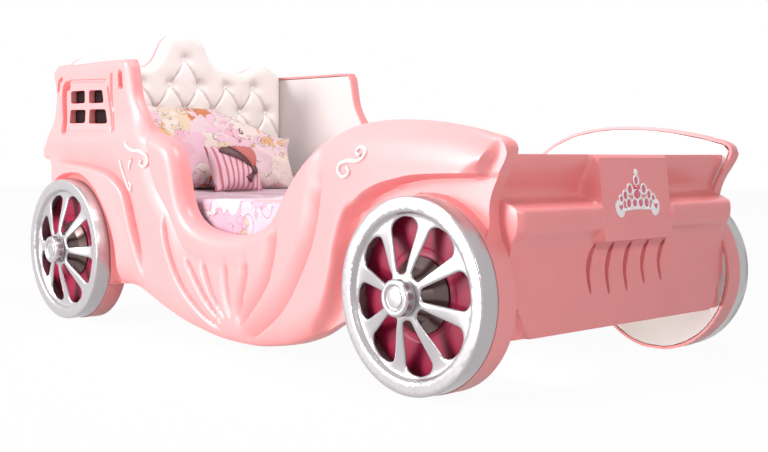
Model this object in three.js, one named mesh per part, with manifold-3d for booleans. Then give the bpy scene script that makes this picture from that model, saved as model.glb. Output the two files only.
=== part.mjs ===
// Children's bed shaped as a princess carriage: two moulded side panels with wheels, a moulded
// foot panel with a tiara, a buttoned headboard, a slatted base, a mattress and its bedding.
// X runs across the bed, Y from the foot to the head, Z up; the floor is at Z = 0.
import * as THREE from 'three';
import Module from 'manifold-3d';
import { mergeVertices } from 'three/addons/utils/BufferGeometryUtils.js';

// Driving dimensions, in millimetres
const mattress_width = 900;
const mattress_length = 1900;
const mattress_height = 185;
const mattress_clearance = 20;
const mattress_middle = 2.5;
const slat_top_height = 250;
const board_thickness = 18;
const seat_gap = 0.3;

// Side panels: outline sizes, then how far each form stands out from the inner face
const panel_overhang = 171;
const roof_height = 894;
const wheel_radius = 244;
const lobe_overhang = 2;
const lip_width = 8;
const edge_stand = 27;
const cabin_stand = 45;
const body_stand = 66;
const fender_stand = 82;
const rear_fender_stand = 76;
const recess_stand = 36;
const lobe_stand = 62;
const nose_stand = 40;
const outline_step = 36;
const outline_tolerance = 1;
const board_play = 1.6;
const window_back_thickness = 5;

// Foot panel
const foot_height = 590;
const foot_underside = 149;
const foot_ledge_depth = 152;
const plate_width = 300;
const plate_bottom_depth = 154;
const plate_top_depth = 128;
const louvre_pitch = 78;
const louvre_length = 112;
const louvre_bow = 34;
const louvre_width = 22;
const louvre_depth = 10;
const louvre_count = 5;
const tiara_width = 200;
const tiara_height = 122;
const tiara_thickness = 4;

// Headboard
const headboard_height = 1038;
const headboard_underside = 235;
const pad_above_bracket = 40;
const pad_thickness = 42;
const pad_edge_radius = 34;
const button_pitch_across = 132;
const button_pitch_up = 98;
const button_top_height = 941;
const button_sink = 20;
const button_spread = 26;
const fold_sink = 8;
const fold_width = 20;

// Wheels
const rim_depth = 54;
const rim_face_width = 33;
const rim_wall = 5;
const spoke_web_rise = 14;
const spoke_web_thickness = 6;
const spoke_width = 17;
const spoke_flare = 14;
const window_outer_clearance = 18;
const window_hub_clearance = 14;
const hub_radius = 46;
const hub_depth = 32;
const hub_ring_inset = 13;
const hub_ring_sink = 5;
const cone_flare = 51;
const dish_thickness = 5;
const dish_play = 3;
const spoke_count = 8;

// Slatted base and fixings
const slat_count = 14;
const slat_width = 70;
const slat_thickness = 14;
const slat_edge_radius = 5;
const rail_width = 25;
const rail_height = 50;
const bracket_leg = 55;
const bracket_height = 90;
const bracket_thickness = 3;

// Ornaments on the side panels
const scroll_width = 11;
const scroll_thickness = 6;
const scroll_bite = 14;

// Bedding
const cover_thickness = 4;
const cover_gap = 1;
const cover_drop = 120;
const cover_wave = 3;
const cover_wave_length = 95;
const mattress_corner_radius = 45;
const mattress_edge_radius = 16;
const pillow_width = 830;
const pillow_height = 350;
const pillow_crown = 75;
const cushion_width = 215;
const cushion_height = 180;
const cushion_crown = 42;
const bow_cushion_back = 245;

// Sizes that follow from the ones above
const inner_half_width = mattress_width / 2 + mattress_clearance;
const panel_half_length = mattress_length / 2 + panel_overhang;
const foot_inner_y = mattress_middle - mattress_length / 2 - mattress_clearance;
const pad_front_y = mattress_middle + mattress_length / 2 + mattress_clearance;
const bracket_underside = slat_top_height + mattress_clearance;
const pad_underside = bracket_underside + bracket_height + pad_above_bracket;
const lobe_radius = wheel_radius + lobe_overhang;
const lobe_face_x = inner_half_width + lobe_stand;
const seat_depth = board_thickness + seat_gap;
const front_wheel_share = -0.767;
const rear_wheel_share = 0.777;
const front_wheel_y = front_wheel_share * panel_half_length;
const rear_wheel_y = rear_wheel_share * panel_half_length;

const wasm = await Module();
wasm.setup();

// Materials, with the colours that the photograph shows
const colours = {
  pink: [0xf4a6ad, 0.25, 0],
  foot_pink: [0xee9aa2, 0.25, 0],
  white_board: [0xf2efee, 0.45, 0],
  white_plastic: [0xf3f1f1, 0.28, 0],
  grey_metallic: [0x8d8584, 0.35, 0.6],
  magenta: [0xb8285e, 0.3, 0],
  window_dark: [0x2a1214, 0.4, 0],
  leatherette: [0xefe9e7, 0.45, 0],
  pine: [0xd9b98a, 0.6, 0],
  steel: [0xb9bcc0, 0.4, 0.9],
  cotton: [0xf0bfd8, 0.9, 0],
  ticking: [0xf4f1ea, 0.9, 0],
};

const bed = new THREE.Group();

function addPiece(name, geometry, look, parent = bed) {
  const [colour, roughness, metalness] = colours[look];
  const material = new THREE.MeshStandardMaterial({ color: colour, roughness, metalness });
  const mesh = new THREE.Mesh(geometry, material);
  mesh.name = name;
  parent.add(mesh);
  return mesh;
}

// Closed solids for joining and cutting
function toSolid(geometry) {
  const bare = geometry.clone();
  bare.deleteAttribute('normal');
  bare.deleteAttribute('uv');
  const merged = mergeVertices(bare);
  return new wasm.Manifold(new wasm.Mesh({
    numProp: 3,
    vertProperties: new Float32Array(merged.attributes.position.array),
    triVerts: new Uint32Array(merged.index.array),
  }));
}

function toGeometry(solid) {
  const mesh = solid.getMesh();
  return indexed(Array.from(mesh.vertProperties), Array.from(mesh.triVerts));
}

function cut(geometry, tools) {
  const solid = tools.reduce((left, tool) => left.subtract(toSolid(tool)), toSolid(geometry));
  return toGeometry(solid);
}

function indexed(coordinates, triangles) {
  const geometry = new THREE.BufferGeometry();
  geometry.setAttribute('position', new THREE.Float32BufferAttribute(coordinates, 3));
  geometry.setIndex(triangles);
  geometry.computeVertexNormals();
  return geometry;
}

// Moves a geometry by a matrix and turns its faces out again where the matrix mirrors it
function moved(geometry, matrix) {
  const result = geometry.clone().applyMatrix4(matrix);
  if (matrix.determinant() > 0) return result;
  const flipped = Array.from(result.index.array);
  for (let i = 0; i < flipped.length; i += 3) {
    [flipped[i + 1], flipped[i + 2]] = [flipped[i + 2], flipped[i + 1]];
  }
  result.setIndex(flipped);
  result.computeVertexNormals();
  return result;
}

function axes(along, up, out, origin) {
  return new THREE.Matrix4().makeBasis(along, up, out).setPosition(origin);
}

const X = new THREE.Vector3(1, 0, 0);
const Y = new THREE.Vector3(0, 1, 0);
const Z = new THREE.Vector3(0, 0, 1);

// Plane geometry shared by the moulded panels
const clamp = (value, low = 0, high = 1) => Math.min(Math.max(value, low), high);
const mix = (from, to, share) => from + (to - from) * share;

function smooth(share) {
  const s = clamp(share);
  return s * s * (3 - 2 * s);
}

// Height of a rounded edge, 0 at its start and 1 where the round ends
function round(share) {
  const s = 1 - clamp(share);
  return Math.sqrt(1 - s * s);
}

function scaled(shares, along, up) {
  return shares.map(([a, b]) => [a * along, b * up]);
}

function smoothLine(points, step) {
  const curve = new THREE.SplineCurve(points.map(([a, b]) => new THREE.Vector2(a, b)));
  const pieces = Math.max(2, Math.round(curve.getLength() / step));
  return curve.getSpacedPoints(pieces).map((p) => [p.x, p.y]);
}

// Distance from a point to a line, the share of the way along it, and the side: left is positive
function toLine([a, b], line) {
  let best = { distance: Infinity };
  for (let i = 0; i + 1 < line.length; i += 1) {
    const [p, q] = [line[i], line[i + 1]];
    const [du, dv] = [q[0] - p[0], q[1] - p[1]];
    const t = clamp(((a - p[0]) * du + (b - p[1]) * dv) / (du * du + dv * dv));
    const [ou, ov] = [a - p[0] - t * du, b - p[1] - t * dv];
    const distance = Math.hypot(ou, ov);
    if (distance < best.distance) {
      best = { distance, side: Math.sign(du * ov - dv * ou), along: (i + t) / (line.length - 1) };
    }
  }
  return best;
}

function isInside([a, b], loop) {
  let inside = false;
  loop.forEach(([pa, pb], i) => {
    const [qa, qb] = loop[(i + 1) % loop.length];
    if ((pb > b) !== (qb > b) && a < ((qa - pa) * (b - pb)) / (qb - pb) + pa) inside = !inside;
  });
  return inside;
}

// A closed loop without the points that it can do without, to within a tolerance
function thinned(loop, tolerance) {
  const kept = [loop[0]];
  let start = 0;
  for (let end = start + 2; end <= loop.length; end += 1) {
    const chord = [loop[start], loop[end % loop.length]];
    const skipped = loop.slice(start + 1, end);
    if (skipped.some((p) => toLine(p, chord).distance > tolerance)) {
      kept.push(loop[end - 1]);
      start = end - 1;
    }
  }
  return kept;
}

// A closed loop moved inwards; the loop runs anticlockwise
function inset(loop, distance) {
  return loop.map(([a, b], i) => {
    const before = loop[(i + loop.length - 1) % loop.length];
    const after = loop[(i + 1) % loop.length];
    const n1 = new THREE.Vector2(before[1] - b, a - before[0]).normalize();
    const n2 = new THREE.Vector2(b - after[1], after[0] - a).normalize();
    const normal = n1.add(n2).normalize();
    const spread = Math.max(normal.dot(n2), 0.5);
    return [a + (normal.x * distance) / spread, b + (normal.y * distance) / spread];
  });
}

// Delaunay triangles over points, as index triples that run anticlockwise
function delaunay(points) {
  const reach = 20 * Math.max(...points.map(([a, b]) => Math.hypot(a, b)));
  const all = [...points, [-reach, -reach], [reach, -reach], [0, reach]];
  const ring = (i, j, k) => {
    const [[ax, ay], [bx, by], [cx, cy]] = [all[i], all[j], all[k]];
    const d = 2 * (ax * (by - cy) + bx * (cy - ay) + cx * (ay - by));
    const [a2, b2, c2] = [ax * ax + ay * ay, bx * bx + by * by, cx * cx + cy * cy];
    const x = (a2 * (by - cy) + b2 * (cy - ay) + c2 * (ay - by)) / d;
    const y = (a2 * (cx - bx) + b2 * (ax - cx) + c2 * (bx - ax)) / d;
    return { corners: [i, j, k], x, y, r2: (ax - x) ** 2 + (ay - y) ** 2 };
  };
  const count = points.length;
  let triangles = [ring(count, count + 1, count + 2)];
  points.forEach(([x, y], index) => {
    const edges = new Map();
    triangles = triangles.filter((t) => {
      if ((x - t.x) ** 2 + (y - t.y) ** 2 >= t.r2) return true;
      t.corners.forEach((from, n) => {
        const to = t.corners[(n + 1) % 3];
        const key = `${Math.min(from, to)}_${Math.max(from, to)}`;
        if (!edges.delete(key)) edges.set(key, [from, to]);
      });
      return false;
    });
    edges.forEach(([from, to]) => triangles.push(ring(from, to, index)));
  });
  return triangles.map((t) => t.corners).filter((c) => c.every((i) => i < count));
}

// Triangles that fill a loop and use the points inside it. An edge of the loop that is not among
// them is halved until it is. A hair of spread settles ties between points on one circle.
function fillLoop(loop, inner) {
  const hair = loopSpan(loop) / 1e7;
  let edge = loop;
  for (let pass = 0; pass < 8; pass += 1) {
    const kept = inner.filter((p) => isInside(p, edge));
    const points = [...edge, ...kept];
    const spread = points.map(([a, b], i) => (i < edge.length ? [a, b]
      : [a + hair * Math.sin(7 * i), b + hair * Math.cos(5 * i)]));
    const faces = delaunay(spread).filter((corners) => {
      const middle = [0, 1].map((n) => corners.reduce((sum, i) => sum + spread[i][n], 0) / 3);
      return isInside(middle, edge);
    });
    const used = new Set(faces.flatMap(([i, j, k]) => [`${i}_${j}`, `${j}_${k}`, `${k}_${i}`]));
    const missing = edge.map((p, i) => !used.has(`${i}_${(i + 1) % edge.length}`));
    if (!missing.includes(true)) return { loop: edge, points, faces };
    edge = edge.flatMap((p, i) => {
      const next = edge[(i + 1) % edge.length];
      return missing[i] ? [p, [(p[0] + next[0]) / 2, (p[1] + next[1]) / 2]] : [p];
    });
  }
  return fillLoop(loop, []);
}

function loopSpan(loop) {
  return Math.max(...loop.map(([a, b]) => Math.hypot(a, b)));
}

// A panel with a shaped front. Its edge reaches back to the inner face as a lip, which folds
// round the board that the panel is fixed to. In panel axes: along, up, out.
function reliefPanel(loop, inner, stand, lip, seat) {
  const front = fillLoop(loop, inner);
  const rim = front.loop;
  const count = rim.length;
  const pocket = inset(rim, lip);
  const rows = [
    front.points.map(([a, b]) => [a, b, stand([a, b])]),
    rim.map(([a, b]) => [a, b, 0]),
    pocket.map(([a, b]) => [a, b, 0]),
    pocket.map(([a, b]) => [a, b, seat]),
  ];
  const starts = [0, rows[0].length, rows[0].length + count, rows[0].length + 2 * count];
  const triangles = front.faces.flat();
  for (let row = 0; row < 3; row += 1) {
    for (let i = 0; i < count; i += 1) {
      const next = (i + 1) % count;
      const [p, q] = [starts[row] + i, starts[row] + next];
      const [r, s] = [starts[row + 1] + i, starts[row + 1] + next];
      triangles.push(p, r, q, q, r, s);
    }
  }
  const shape = pocket.map(([a, b]) => new THREE.Vector2(a, b));
  THREE.ShapeUtils.triangulateShape(shape, []).forEach(([i, j, k]) => {
    triangles.push(starts[3] + i, starts[3] + k, starts[3] + j);
  });
  return { geometry: indexed(rows.flat(2), triangles), front, rim };
}

// How far the faceted front of a panel stands out at a point
function facetStand({ points, faces }, stand, [a, b]) {
  for (const corners of faces) {
    const [[ax, ay], [bx, by], [cx, cy]] = corners.map((i) => points[i]);
    const area = (bx - ax) * (cy - ay) - (cx - ax) * (by - ay);
    const u = ((b - ay) * (cx - ax) - (a - ax) * (cy - ay)) / -area;
    const v = ((a - ax) * (by - ay) - (b - ay) * (bx - ax)) / -area;
    if (u >= 0 && v >= 0 && u + v <= 1) {
      const [p, q, r] = corners.map((i) => stand(points[i]));
      return p + u * (q - p) + v * (r - p);
    }
  }
  return stand([a, b]);
}

function prism(loop, from, to) {
  const shape = new THREE.Shape(loop.map(([a, b]) => new THREE.Vector2(a, b)));
  const geometry = new THREE.ExtrudeGeometry(shape, { depth: to - from, bevelEnabled: false });
  geometry.translate(0, 0, from);
  return mergeVertices(stripped(geometry));
}

function stripped(geometry) {
  geometry.deleteAttribute('normal');
  geometry.deleteAttribute('uv');
  return geometry;
}

// Side panel outline, as shares of the half length and of the roof height, foot end first
const front_top_shares = [
  [-0.986, 0.673], [-0.980, 0.690], [-0.962, 0.703], [-0.93, 0.713], [-0.88, 0.727],
  [-0.78, 0.746], [-0.69, 0.754], [-0.61, 0.753], [-0.535, 0.743], [-0.47, 0.724],
  [-0.412, 0.695],
];
const dip_shares = [
  [-0.412, 0.695], [-0.355, 0.648], [-0.305, 0.595], [-0.262, 0.533], [-0.228, 0.474],
  [-0.185, 0.427], [-0.125, 0.396], [-0.05, 0.383], [0.02, 0.383], [0.085, 0.392],
  [0.138, 0.415], [0.172, 0.45], [0.196, 0.51], [0.214, 0.588], [0.232, 0.645],
  [0.258, 0.682], [0.308, 0.708], [0.362, 0.728], [0.402, 0.761], [0.437, 0.812],
  [0.460, 0.862], [0.472, 0.92], [0.481, 0.972],
];
const roof_shares = [
  [0.481, 0.972], [0.492, 0.993], [0.512, 1], [0.7, 1], [0.905, 1], [0.935, 0.992],
  [0.951, 0.975], [0.953, 0.948],
];
const rear_shares = [
  [0.953, 0.948], [0.942, 0.918], [0.939, 0.872], [0.944, 0.828], [0.957, 0.775],
  [0.972, 0.73], [0.984, 0.692], [0.996, 0.68], [1, 0.665], [1, 0.635], [0.992, 0.62],
  [0.968, 0.613], [0.949, 0.604], [0.941, 0.578], [0.936, 0.535],
];
const belly_shares = [
  [0.535, 0.158], [0.485, 0.16], [0.44, 0.155], [0.39, 0.136], [0.33, 0.109], [0.26, 0.083],
  [0.19, 0.06], [0.11, 0.042], [0.02, 0.027], [-0.07, 0.0235], [-0.14, 0.026],
  [-0.21, 0.037], [-0.3, 0.058], [-0.385, 0.094], [-0.45, 0.138], [-0.497, 0.166],
  [-0.53, 0.182],
];
const nose_shares = [
  [-0.937, 0.475], [-0.936, 0.525], [-0.945, 0.567], [-0.963, 0.61], [-0.981, 0.648],
  [-0.986, 0.673],
];
const rear_lobe_degrees = [44, -154];
const front_lobe_degrees = [-18, -216];
const down_degrees = -90;

const sidePoints = (shares) => scaled(shares, panel_half_length, roof_height);
const wheelCentre = (place) => [place, wheel_radius];

// An outline point that a wheel lobe would swallow moves out to the lobe's edge
function clearOfLobes(point, margin) {
  return [front_wheel_y, rear_wheel_y].reduce(([a, b], place) => {
    const [ca, cb] = wheelCentre(place);
    const away = Math.hypot(a - ca, b - cb);
    const least = lobe_radius + margin;
    return away >= least ? [a, b] : [ca + ((a - ca) * least) / away, cb + ((b - cb) * least) / away];
  }, point);
}

// The part of a lobe's edge between two angles, clockwise, flat where it meets the floor
function lobeArc(place, [from, to]) {
  const [ca, cb] = wheelCentre(place);
  const flat = THREE.MathUtils.radToDeg(Math.acos(wheel_radius / lobe_radius));
  const arc = (start, end) => {
    const turn = THREE.MathUtils.degToRad(start - end);
    const steps = Math.ceil((turn * lobe_radius) / outline_step);
    return Array.from({ length: steps + 1 }, (none, i) => {
      const angle = THREE.MathUtils.degToRad(mix(start, end, i / steps));
      return [ca + lobe_radius * Math.cos(angle), cb + lobe_radius * Math.sin(angle)];
    });
  };
  const ends = [...arc(from, down_degrees + flat), ...arc(down_degrees - flat, to)];
  return ends.map(([a, b]) => [a, Math.max(b, 0)]);
}

const lobe_margin = 6;
const clearLine = (shares, step) => smoothLine(sidePoints(shares), step)
  .map((p) => clearOfLobes(p, lobe_margin));
const front_top_line = clearLine(front_top_shares, outline_step);
const dip_line = clearLine(dip_shares, outline_step * 0.8);
const roof_line = clearLine(roof_shares, outline_step * 0.9);
const rear_line = clearLine(rear_shares, outline_step * 0.7);
const belly_line = clearLine(belly_shares, outline_step);
const nose_line = clearLine(nose_shares, outline_step);

function sideOutline() {
  const clockwise = [
    ...front_top_line.slice(1), ...dip_line.slice(1), ...roof_line.slice(1),
    ...rear_line.slice(1), ...lobeArc(rear_wheel_y, rear_lobe_degrees), ...belly_line,
    ...lobeArc(front_wheel_y, front_lobe_degrees), ...nose_line,
  ];
  return thinned(clockwise.reverse(), outline_tolerance);
}

// Creases of the side panel: each is a valley with its own depth and its own width on each side
const rim_shares = [
  [0.474, 0.965], [0.465, 0.885], [0.437, 0.812], [0.392, 0.744], [0.357, 0.66],
  [0.343, 0.582], [0.308, 0.509], [0.262, 0.451], [0.219, 0.383], [0.169, 0.321],
  [0.078, 0.29], [-0.036, 0.285], [-0.121, 0.303],
];
const rim_depths = [0, 5, 6, 13, 14, 9, 3, 2, 0];
const rear_valley_shares = [
  [0.95, 0.625], [0.883, 0.622], [0.785, 0.614], [0.695, 0.605], [0.59, 0.583],
  [0.514, 0.536], [0.477, 0.481], [0.442, 0.378], [0.407, 0.285], [0.379, 0.213],
  [0.35, 0.15],
];
const pleat_shares = [
  [[0.273, 0.444], [0.255, 0.329], [0.191, 0.204], [0.079, 0.103], [-0.01, 0.056]],
  [[0.162, 0.296], [0.105, 0.213], [0.064, 0.159], [0.018, 0.111], [-0.021, 0.068]],
  [[0.078, 0.29], [0.038, 0.191], [0.004, 0.136], [-0.029, 0.093], [-0.045, 0.06]],
  [[-0.032, 0.29], [-0.038, 0.219], [-0.048, 0.153], [-0.051, 0.102], [-0.052, 0.06]],
  [[-0.121, 0.305], [-0.121, 0.256], [-0.105, 0.194], [-0.087, 0.134], [-0.062, 0.066]],
  [[-0.246, 0.409], [-0.239, 0.356], [-0.216, 0.266], [-0.179, 0.198], [-0.1, 0.097]],
  [[-0.423, 0.56], [-0.403, 0.434], [-0.371, 0.345], [-0.275, 0.173], [-0.14, 0.062]],
];
const pleat_depths = [10, 7, 8, 10, 12, 17, 24];
const pleat_head_widths = [24, 24, 30, 40, 46, 60, 75];
const pleat_foot_widths = [44, 30, 26, 22, 22, 22, 24];
const pleat_top_share = 0.12;
const pleat_top_depth_share = 0.4;
const front_lip_shares = [
  [-0.365, 0.085], [-0.398, 0.15], [-0.43, 0.198], [-0.451, 0.257], [-0.467, 0.319],
  [-0.482, 0.397], [-0.516, 0.492], [-0.554, 0.523], [-0.588, 0.551], [-0.637, 0.575],
  [-0.687, 0.589], [-0.741, 0.601], [-0.802, 0.606], [-0.875, 0.609], [-0.96, 0.61],
];
const rear_lip_shares = [
  [0.945, 0.455], [0.88, 0.545], [0.79, 0.572], [0.705, 0.56], [0.625, 0.5],
  [0.57, 0.42], [0.535, 0.345], [0.517, 0.27], [0.512, 0.2], [0.512, 0.15],
];
const scoop_shares = [[-0.895, 0.628], [-0.93, 0.645], [-0.962, 0.662]];
const curtain_left_shares = [[0.884, 0.92], [0.866, 0.83], [0.866, 0.79], [0.886, 0.74]];
const curtain_right_shares = [[0.585, 0.94], [0.585, 0.88], [0.582, 0.82], [0.556, 0.735]];
const window_top_shares = [[0.837, 0.932], [0.72, 0.929], [0.614, 0.925]];
const rim_valley_width = 30;
const rim_band_width = 50;
const rear_valley_depth = 24;
const rear_valley_body_width = 26;
const rear_valley_band_width = 85;
const rear_valley_fade_share = 0.25;
const rear_valley_top_share = 0.2;
const scoop_depth = 40;
const scoop_length = 75;
const scoop_height = 24;
const nose_strip_width = 22;
const curtain_depth = 9;
const curtain_width = 12;
const lip_step_start = 52;
const lip_step_end = 18;
const rear_lip_step = 9;
const rear_recess_room = 24;
const lobe_step = 4;
const flare_top_share = 0.8;
const flare_height = 110;
const fender_reach = 95;
const rear_fender_reach = 60;
const edge_widths = { front_top: 112, dip: 42, roof: 26, rear: 26, belly: 84, nose: 12 };
const pleat_fade = 120;

const curve_step = 22;
const sideLine = (shares) => smoothLine(sidePoints(shares), curve_step);
const rim_valley = sideLine(rim_shares);
const rear_valley = sideLine(rear_valley_shares);
const pleats = pleat_shares.map(sideLine);
const front_lip = sideLine(front_lip_shares).map((p) => clearOfLobes(p, 3 * lobe_margin));
const rear_lip = sideLine(rear_lip_shares).map((p) => clearOfLobes(p, 2 * lobe_margin));
const scoop_line = sideLine(scoop_shares);
const grooves = [curtain_left_shares, curtain_right_shares, window_top_shares].map(sideLine);
const pleat_foot = pleats[3][pleats[3].length - 1];

const beyond = 2 * panel_half_length;
const front_arch = [...front_lip, [-beyond, front_lip.at(-1)[1]], [-beyond, -beyond],
  [front_lip[0][0], -beyond]];
const rear_arch = [...rear_lip, [rear_lip.at(-1)[0], -beyond], [beyond, -beyond],
  [beyond, rear_lip[0][1]]];

// Depth of a valley at a distance: deepest on its line, with rounded shoulders
function valley(distance, width, depth) {
  const s = 1 - clamp(distance / width);
  return depth * s * s;
}

function valleyAt(point, line, depth, leftWidth, rightWidth) {
  const near = toLine(point, line);
  return valley(near.distance, near.side > 0 ? leftWidth : rightWidth, depth);
}

function lobeStand(point) {
  const gaps = [front_wheel_y, rear_wheel_y].map((place) => {
    const [ca, cb] = wheelCentre(place);
    return Math.hypot(point[0] - ca, point[1] - cb) - lobe_radius;
  });
  return 1 - smooth(Math.min(...gaps) / lobe_step);
}

// Value of a table at a share of the way along it
function tableAt(table, share) {
  const place = clamp(share) * (table.length - 1);
  const row = Math.min(Math.floor(place), table.length - 2);
  return mix(table[row], table[row + 1], place - row);
}

// Depth of the deepest of the rim's valley, the pleats and the rear valley at a point
function creaseDepth(point) {
  const rim = toLine(point, rim_valley);
  const rimWidth = rim.side > 0 ? rim_band_width : rim_valley_width;
  const foot = Math.hypot(point[0] - pleat_foot[0], point[1] - pleat_foot[1]);
  const pleat = Math.max(...pleats.map((line, i) => {
    const near = toLine(point, line);
    const width = near.side > 0 ? pleat_head_widths[i] : pleat_foot_widths[i];
    const top = mix(pleat_top_depth_share, 1, smooth(near.along / pleat_top_share));
    return valley(near.distance, width, pleat_depths[i] * top);
  })) * smooth(foot / pleat_fade);
  const rear = toLine(point, rear_valley);
  const rearWidth = rear.side > 0 ? rear_valley_body_width : rear_valley_band_width;
  const rearCut = valley(rear.distance, rearWidth, rear_valley_depth)
    * smooth((1 - rear.along) / rear_valley_fade_share) * smooth(rear.along / rear_valley_top_share);
  return Math.max(valley(rim.distance, rimWidth, tableAt(rim_depths, rim.along)), pleat, rearCut);
}

// How far the front of the side panel stands out from its inner face
function sideStand(point) {
  const [along, up] = point;
  const flare = smooth((flare_top_share * roof_height - up) / flare_height);
  let target = mix(cabin_stand, body_stand, flare);
  const lip = toLine(point, front_lip);
  const rearLip = toLine(point, rear_lip);
  target = mix(target, fender_stand, Math.exp(-((lip.distance / fender_reach) ** 2)));
  const rearShare = Math.exp(-((rearLip.distance / rear_fender_reach) ** 2));
  target = mix(target, rear_fender_stand, rearShare);
  target -= creaseDepth(point);
  grooves.forEach((line) => {
    target -= valleyAt(point, line, curtain_depth, curtain_width, curtain_width);
  });
  const scoop = toLine(point, scoop_line);
  const scoopStart = scoop_line[0][0];
  if (scoop.side < 0 || up < scoop_line[0][1]) {
    target -= scoop_depth * smooth((scoopStart - along) / scoop_length)
      * smooth(scoop.distance / scoop_height);
  }
  const rounds = [
    round(toLine(point, front_top_line).distance / edge_widths.front_top),
    round(toLine(point, dip_line).distance / edge_widths.dip),
    round(toLine(point, roof_line).distance / edge_widths.roof),
    round(toLine(point, rear_line).distance / edge_widths.rear),
    round(toLine(point, belly_line).distance / edge_widths.belly),
  ];
  const edge = mix(edge_stand, target, Math.min(...rounds));
  const nose = toLine(point, nose_line).distance;
  const noseShare = smooth((nose_strip_width * 2 - nose) / nose_strip_width);
  let stand = mix(edge, Math.min(edge, nose_stand), noseShare);
  if (isInside(point, front_arch)) {
    const width = mix(lip_step_start, lip_step_end, smooth(lip.along * 1.8));
    stand = mix(stand, recess_stand, smooth(lip.distance / width));
  }
  if (isInside(point, rear_arch)) {
    const room = Math.hypot(along - rear_wheel_y, up - wheel_radius) - lobe_radius;
    const share = smooth(rearLip.distance / rear_lip_step) * smooth(room / rear_recess_room);
    stand = mix(stand, recess_stand, share);
  }
  return mix(stand, lobe_stand, lobeStand(point));
}

// Points that the faceted side panel is drawn through, most telling first
function beside(line, distance) {
  return line.map(([a, b], i) => {
    const [p, q] = [line[Math.max(i - 1, 0)], line[Math.min(i + 1, line.length - 1)]];
    const normal = new THREE.Vector2(p[1] - q[1], q[0] - p[0]).normalize();
    return [a + normal.x * distance, b + normal.y * distance];
  });
}

function everyOther(line, start = 0) {
  return line.filter((p, i) => i % 2 === start);
}

function circlePoints([ca, cb], radius, count) {
  return Array.from({ length: count }, (none, i) => {
    const angle = (2 * Math.PI * i) / count;
    return [ca + radius * Math.cos(angle), cb + radius * Math.sin(angle)];
  });
}

function gridPoints(lowest, highest, step) {
  const points = [];
  for (let a = lowest[0], row = 0; a <= highest[0]; a += step, row += 1) {
    for (let b = lowest[1] + (row % 2) * step / 2; b <= highest[1]; b += step) points.push([a, b]);
  }
  return points;
}

// Keeps the points of each list that are clear of the edge and of the points already kept
function spaced(loop, lists, edgeGap) {
  const kept = [];
  const ring = [...loop, loop[0]];
  lists.forEach(([points, gap, ownGap = edgeGap]) => {
    points.forEach((p) => {
      if (!isInside(p, loop) || toLine(p, ring).distance < ownGap) return;
      if (kept.every((q) => Math.hypot(p[0] - q[0], p[1] - q[1]) >= gap)) kept.push(p);
    });
  });
  return kept;
}

const ring_point_count = 30;
const near_gap = 3;
const point_gap = 17;
const line_gap = 26;
const fill_step = 92;
const fill_gap = 50;
const edge_gap = 12;
const edge_row_share = 0.3;
const crease_margin = 1.5;
const pleat_point_count = 9;
const fold_ridge_shares = [0.34, 0.66];

function resampled(line, count) {
  const curve = new THREE.SplineCurve(line.map(([a, b]) => new THREE.Vector2(a, b)));
  return curve.getSpacedPoints(count - 1).map((p) => [p.x, p.y]);
}

function sidePointsInside(loop) {
  const rings = [front_wheel_y, rear_wheel_y].flatMap((place) => [
    [circlePoints(wheelCentre(place), lobe_radius, ring_point_count), near_gap, near_gap],
    [circlePoints(wheelCentre(place), lobe_radius + lobe_step, ring_point_count), near_gap, near_gap],
  ]);
  const grooveRows = grooves.flatMap((line) => [-curtain_width, 0, curtain_width]
    .map((side) => [everyOther(beside(line, side)), curtain_width * 0.8]));
  const valleys = pleats.map((line) => resampled(line, pleat_point_count));
  const ridges = valleys.slice(1).flatMap((line, i) => fold_ridge_shares.map((share) => line.map(
    ([a, b], n) => [mix(valleys[i][n][0], a, share), mix(valleys[i][n][1], b, share)])));
  const smoothOnes = (line) => line.filter((p) => creaseDepth(p) < crease_margin);
  const edges = [[front_top_line, edge_widths.front_top], [dip_line, edge_widths.dip],
    [roof_line, edge_widths.roof], [rear_line, edge_widths.rear], [belly_line, edge_widths.belly]];
  return spaced(loop, [
    ...rings, [front_lip, point_gap, near_gap], [beside(front_lip, lip_step_end), near_gap * 2],
    [everyOther(rear_lip), near_gap, near_gap],
    ...grooveRows, [scoop_line, point_gap],
    ...valleys.map((line) => [line.slice(0, -1), point_gap]),
    [rim_valley, point_gap], [rear_valley, point_gap],
    ...ridges.map((line) => [smoothOnes(line.slice(0, -1)), point_gap]),
    ...edges.map(([line, width]) => [beside(line, -width * edge_row_share), point_gap]),
    [everyOther(beside(rim_valley, rim_band_width)), line_gap],
    [smoothOnes(everyOther(beside(rim_valley, -rim_valley_width))), line_gap],
    [everyOther(beside(rear_valley, -rear_valley_band_width)), line_gap],
    [everyOther(beside(rear_valley, rear_valley_body_width / 2)), line_gap],
    [smoothOnes(everyOther(beside(rear_valley, rear_valley_body_width))), line_gap],
    ...edges.map(([line, width]) => [smoothOnes(everyOther(beside(line, -width))), line_gap]),
    [smoothOnes(gridPoints([-panel_half_length, 0], [panel_half_length, roof_height],
      fill_step)), fill_gap],
  ], edge_gap);
}

const leftAxes = (out) => axes(Y, Z, X.clone().negate(), new THREE.Vector3(-out, 0, 0));
const rightAxes = (out) => axes(Y, Z, X, new THREE.Vector3(out, 0, 0));
const sides = [['left', leftAxes(inner_half_width)], ['right', rightAxes(inner_half_width)]];

// Window in the cabin: four panes, and the dark sheet behind them
const pane_shares = [
  [[0.74, 0.843], [0.829, 0.843], [0.829, 0.893], [0.74, 0.893]],
  [[0.625, 0.841], [0.715, 0.841], [0.715, 0.892], [0.633, 0.891]],
  [[0.736, 0.765], [0.836, 0.765], [0.834, 0.82], [0.736, 0.818]],
  [[0.598, 0.761], [0.713, 0.763], [0.713, 0.819], [0.615, 0.817]],
];
const window_back_shares = [[0.58, 0.75], [0.85, 0.75], [0.85, 0.905], [0.58, 0.905]];
const pane_corner_share = 0.12;

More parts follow.
